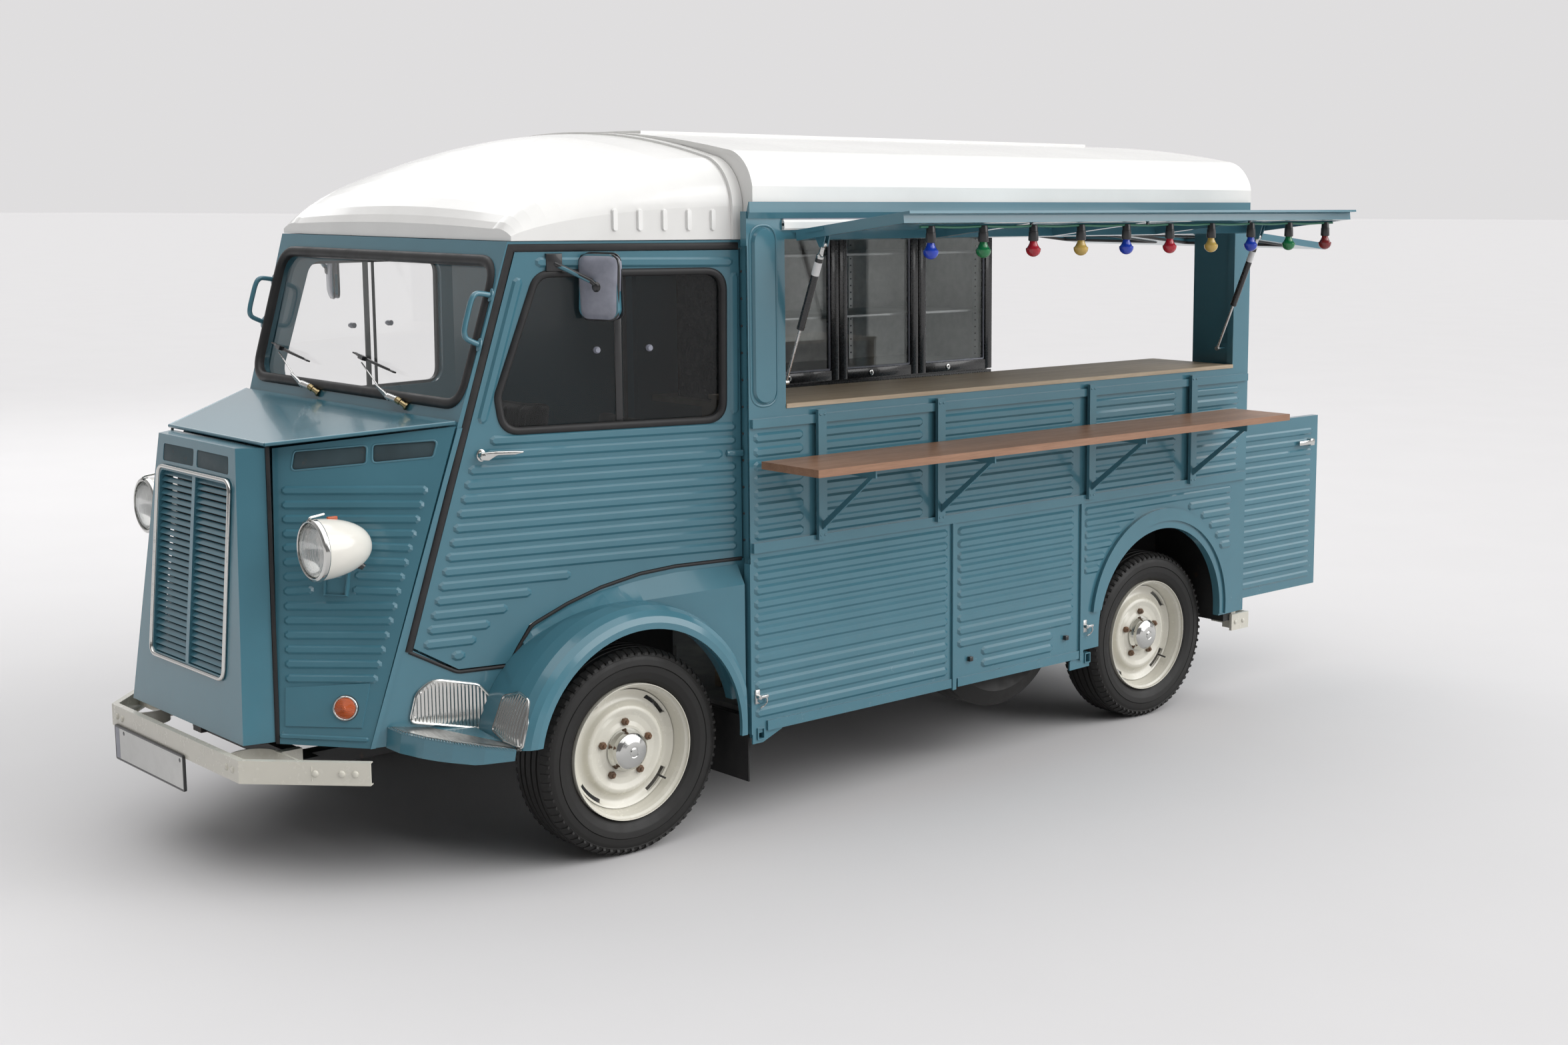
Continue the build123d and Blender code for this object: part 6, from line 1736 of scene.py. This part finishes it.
def makeCooler():
    front, back, (y0, y1), (z0, z1) = (coolerStyle[key] for key in ("front", "back", "y", "z"))
    wide, frameOf = (y1 - y0) / 3, coolerStyle["frame"]
    low, high = z0 + 0.076, z1
    for index in range(3):
        body = "cooler_door_%d" % (index + 1)
        start, end = y0 + wide * index + 0.002, y0 + wide * (index + 1) - 0.002
        x = (front - coolerStyle["depth"] + 0.001, front)
        bars = [((start, low), (start + frameOf, high)), ((end - frameOf, low), (end, high)),
            ((start + frameOf - 0.001, low), (end - frameOf + 0.001, low + frameOf)),
                ((start + frameOf - 0.001, high - frameOf), (end - frameOf + 0.001, high))]
        meshes = [boxMesh("bar", (x[0], a[0], a[1]), (x[1], b[0], b[1]), 0.003) for a, b in bars]
        case = joined("coolerFrame%d" % (index + 1), meshes, "gloss", body, 30)
        pane = placed("coolerPane%d" % (index + 1), boxMesh("pane", (front - 0.022, start + 0.04, low + 0.04),
            (front - 0.014, end - 0.04, high - 0.04)), "coolerGlass", body)
        inner = [(start + frameOf, low + frameOf, 0.012), (end - frameOf, low + frameOf, 0.012),
            (end - frameOf, high - frameOf, 0.012), (start + frameOf, high - frameOf, 0.012)]
        upright = planeFrame((front - 0.01, 0, 0), (front - 0.01, 1, 0), (front - 0.01, 0, 1))
        band("coolerGasket%d" % (index + 1), grown(roundedPath(inner, closed=True), -0.002), 0.01, 0.004,
            "grey", body, upright, closed=True, sink=0.004)
        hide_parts(body)
        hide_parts(body)
        lock = [(-0.001, 0), (-0.001, 0.012), (0.003, 0.012), (0.004, 0.01), (0.0035, 0.0045), (0.001, 0.004),
            (0.001, 0)]
        revolved("coolerLock%d" % (index + 1), lock, "chrome", body, segments=24, axis="X",
            place=(front, (start + end) / 2 - 0.05, low + 0.021))
        heads("coolerCatch%d" % (index + 1), [(front + 0.0005, (start + end) / 2 - 0.05, low + 0.021)],
            (1, 0, 0), 0.0042, 0.003, "black", body, 12)
    inside = [((back + 0.0401, y0 + 0.03, z0 + 0.11), (back + 0.042, y1 - 0.03, z1 - 0.04)),
        ((back + 0.04, y0 + 0.0301, z0 + 0.11), (front - 0.036, y0 + 0.032, z1 - 0.04)),
              ((back + 0.04, y1 - 0.032, z0 + 0.11), (front - 0.036, y1 - 0.0301, z1 - 0.04)),
              ((back + 0.04, y0 + 0.03, z1 - 0.042), (front - 0.036, y1 - 0.03, z1 - 0.0401)),
              ((back + 0.04, y0 + 0.03, z0 + 0.1101), (front - 0.036, y1 - 0.03, z0 + 0.112))]
    joined("coolerLiner", [boxMesh("wall", *corners) for corners in inside], "liner", "body")
    shelves = [boxMesh("shelf", (back + 0.041, y0 + 0.0315, z - 0.001),
        (front - 0.063, y1 - 0.0315, z + 0.009), 0.001) for z in coolerStyle["shelves"]]
    joined("coolerShelves", shelves, "galvanised", "body", 30)
    rails = [y0 + 0.045, y0 + wide - 0.02, y0 + wide + 0.02, y0 + wide * 2 - 0.02, y0 + wide * 2 + 0.02,
        y1 - 0.045]
    posts = [boxMesh("rail", (back + 0.042, y - 0.012, z0 + 0.112), (back + 0.05, y + 0.012, z1 - 0.042))
        for y in rails]
    posts += [boxMesh("rail", (front - 0.072, y - 0.012, z0 + 0.112), (front - 0.064, y + 0.012, z1 - 0.042))
        for y in (rails[0], rails[-1])]
    joined("coolerRails", posts, "galvanised", "body")
    # thin black patches on the rails: painted shade for the slots in them
    slot = boxMesh("slot", (-0.0045, -0.003, -0.001), (0.0045, 0.003, 0.0006))
    slots = [((back + 0.05, y, z0 + 0.14 + 0.03 * k), (1, 0, 0), (0, 1, 0)) for y in rails for k in range(23)]
    slots += [((front - 0.064, y, z0 + 0.14 + 0.03 * k), (1, 0, 0), (0, 1, 0)) for y in (rails[0], rails[-1])
        for k in range(23)]
    repeated("coolerRailSlots", slot, slots, "black", "body")
    fin = boxMesh("fin", (-0.0035, -0.026, 0), (0.0035, 0.026, 0.0035), 0.001)
    fins = [((front - 0.006, y0 + 0.02 + 0.0145 * k, z0 + 0.036), (1, 0, 0), (0, 1, 0)) for k in range(91)]
    repeated("coolerVent", fin, fins, "gloss", "body")


# cab inside, seen through the glass
seatStyle = {"side": 0.4, "half": 0.224, "base": (-0.056, 0.372, 0.806, 0.902),
    "lean": (0.342, 0.903, 0.392, 1.352), "thick": 0.07, "voxel": 0.006, "frames": 18, "swell": 0.012,
    "channels": 9, "channelDepth": 0.008}
coverStyle = {  # the cloth that the cushions are blown up with
    "use_pressure": True, "uniform_pressure_force": 4.0, "quality": 6, "mass": 0.35, "tension_stiffness": 18,
    "compression_stiffness": 18, "shear_stiffness": 8, "bending_stiffness": 1.2,
}


def makeCabInside():
    centre, lean = Vector((0.4, -0.2, 1.305)), Vector((0, 0.17, 0.23)).normalized()
    at = barFrame(centre, centre + lean)
    section = [(0.0145 * cos(2 * pi * k / 14), 0.19 + 0.0145 * sin(2 * pi * k / 14)) for k in range(14)]
    revolved("steeringRim", section, "gloss", "body", segments=72, axis="Z", closed=True, at=at, smooth=60)
    revolved("steeringHub", [(-0.016, 0), (-0.016, 0.041), (0.012, 0.0415), (0.017, 0.03), (0.018, 0.012),
        (0.02, 0)], "gloss", "body", segments=36, axis="Z", at=at)
    spokes = []
    for angle in (90, 210, 330):
        turn = radians(angle)
        spokes.append(tubeMesh("spoke", [at @ Vector((0.03 * cos(turn), 0.03 * sin(turn), 0)),
            at @ Vector((0.186 * cos(turn), 0.186 * sin(turn), 0))], 0.0076, order=2))
    joined("steeringSpokes", spokes, "steel", "body", 40)
    revolved("speedDial", [(0, 0), (0, 0.052), (0.01, 0.052), (0.012, 0.048), (0.008, 0.045), (0.006, 0)],
        "black", "body", segments=40, axis="Z",
             at=barFrame((0.4, -0.347, 1.3), (0.4, -0.3, 1.306)))


def cushionMesh(name, low, high):
    size = Vector(high) - Vector(low)
    shape = bmesh.new()
    bmesh.ops.create_cube(shape, size=1)
    bmesh.ops.scale(shape, verts=shape.verts, vec=size)
    bmesh.ops.bevel(shape, geom=shape.edges[:], offset=min(size) * 0.28, segments=3, profile=0.6,
        affect="EDGES")
    return meshFrom(shape, name)


def swollen(name, size):
    # a stuffed cover: a small remeshed block blown up as cloth, with no frame to hold it
    mesh = cushionMesh(name, [-s / 2 for s in size], [s / 2 for s in size])
    holder = added(name, mesh)
    remesh = holder.modifiers.new("remesh", "REMESH")
    remesh.mode = "VOXEL"
    remesh.voxel_size = seatStyle["voxel"]
    bpy.context.view_layer.update()
    mesh = settled(holder)
    holder.modifiers.clear()
    holder.data = mesh
    before = [vertex.co.copy() for vertex in mesh.vertices]
    cloth = holder.modifiers.new("cloth", "CLOTH")
    for setting, value in coverStyle.items():
        setattr(cloth.settings, setting, value)
    cloth.settings.effector_weights.gravity = 0.0
    cloth.collision_settings.use_collision = False
    cloth.point_cache.frame_start, cloth.point_cache.frame_end = 1, seatStyle["frames"]
    for frameNumber in range(1, seatStyle["frames"] + 1):
        scene.frame_set(frameNumber)
        bpy.context.view_layer.update()
    blown = settled(holder)
    bpy.data.objects.remove(holder)
    scene.frame_set(1)
    limit = seatStyle["swell"]
    for vertex, start in zip(blown.vertices, before):
        move = vertex.co - start
        if move.length > limit:
            vertex.co = start + move * (limit / move.length)
    return blown


def channelled(mesh, size):
    # sewn channels that run away from the sitter, cut into the top after it was blown up
    wide, deep, tall = size
    count, depth = seatStyle["channels"], seatStyle["channelDepth"]
    for vertex in mesh.vertices:
        x, y, z = vertex.co
        if z < 0:
            continue
        inside = min(1, max(0, (wide * 0.42 - abs(x)) / 0.02))
        inside = inside * min(1, max(0, (deep * 0.44 - abs(y)) / 0.03)) * min(1, z / (tall * 0.3))
        wave = abs(sin(pi * count * (x / (wide * 0.84) + 0.5)))
        vertex.co.z = z - depth * inside * (1 - wave ** 0.45)
    return mesh


def makeSeats():
    y0, y1, z0, z1 = seatStyle["base"]
    footY, footZ, headY, headZ = seatStyle["lean"]
    half = seatStyle["half"]
    baseSize = (half * 2 - 0.02, y1 - y0 - 0.02, z1 - z0 - 0.016)
    base = channelled(swollen("seatBase", baseSize), baseSize)
    way = Vector((0, headY - footY, headZ - footZ))
    backSize = (half * 2 - 0.02, way.length - 0.02, seatStyle["thick"] - 0.014)
    back = channelled(swollen("seatBack", backSize), backSize)
    base.transform(shifted((0, (y0 + y1) / 2, (z0 + z1) / 2)))
    up = way.normalized()
    face = Vector((0, -up.z, up.y))
    turn = Matrix((Vector((-1, 0, 0)), up, face)).transposed().to_4x4()
    back.transform(shifted(Vector((0, (footY + headY) / 2, (footZ + headZ) / 2)) - face * 0.002) @ turn)
    for side in (-1, 1):
        for name, mesh in (("seatBase", base), ("seatBack", back)):
            cover = mesh.copy()
            cover.transform(shifted((side * seatStyle["side"], 0, 0)))
            piece = placed(name + ("Left" if side > 0 else "Right"), cover, "vinyl", "body", 60)
            smoother = piece.modifiers.new("smooth", "SUBSURF")
            smoother.levels = smoother.render_levels = 1
            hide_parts("seats")


# back end
def makeRear():
    for side, body in ((1, "rear_door_left"), (-1, "rear_door_right")):
        x = sorted((side * 0.7905, side * 0.8148))
        lever = sorted((side * 0.8052, side * 0.8152))
        meshes = [boxMesh("base", (x[0], 3.682, 0.9988), (x[1], 3.7142, 1.0312), 0.004),
            boxMesh("lever", (lever[0], 3.6018, 1.0048), (lever[1], 3.7145, 1.0252), 0.004)]
        joined("leafLatch" + ("Left" if side > 0 else "Right"), meshes, "chrome", body, 40)
    y, z = 3.028, 1.962
    tilt = shifted((0, y, z)) @ Matrix.Rotation(radians(-6), 4, "X")
    for side, name in ((1, "Left"), (-1, "Right")):
        middle = side * 0.38
        corners = [(middle - 0.29, 0.25, 0.02), (middle + 0.29, 0.25, 0.02), (middle + 0.29, 0.64, 0.02),
            (middle - 0.29, 0.64, 0.02)]
        outline = roundedPath(corners, closed=True)
        for top in (1, -1):
            lift = tilt @ shifted((0, 0, 0.014 * top))
            if top < 0:
                lift = lift @ Matrix.Diagonal((1, 1, -1, 1))
            rubber = band("tailgateRubber%s%d" % (name, (1 - top) // 2), grown(outline, 0.004), 0.022, 0.006,
                "seal", "tailgate", lift, closed=True, sink=0.006)
            tidied(rubber.data)
        sheetPiece("tailgatePane" + name, [tuple(p) for p in grown(outline, -0.0005)], 0.005, "glass",
            "tailgate", rim=0, at=tilt @ shifted((0, 0, 0.0025)))


makeCamera()
makeStudio()
print("stage: camera and studio")
dressNodes()
print("stage: finishes on the CAD nodes")
makeWheels()
print("stage: wheels")
makeRibs()
makeSeals()
makeNose()
makeLamps()
print("stage: ribs, seals, nose and lamps")
makePlates()
makeFront()
makeDoorTrim()
print("stage: bright plates, bumpers, wipers and door trim")
makeBodyTrim()
makeCooler()
makeCabInside()
makeSeats()
makeRear()
print("stage: hatch, cooler, cab inside and back end")
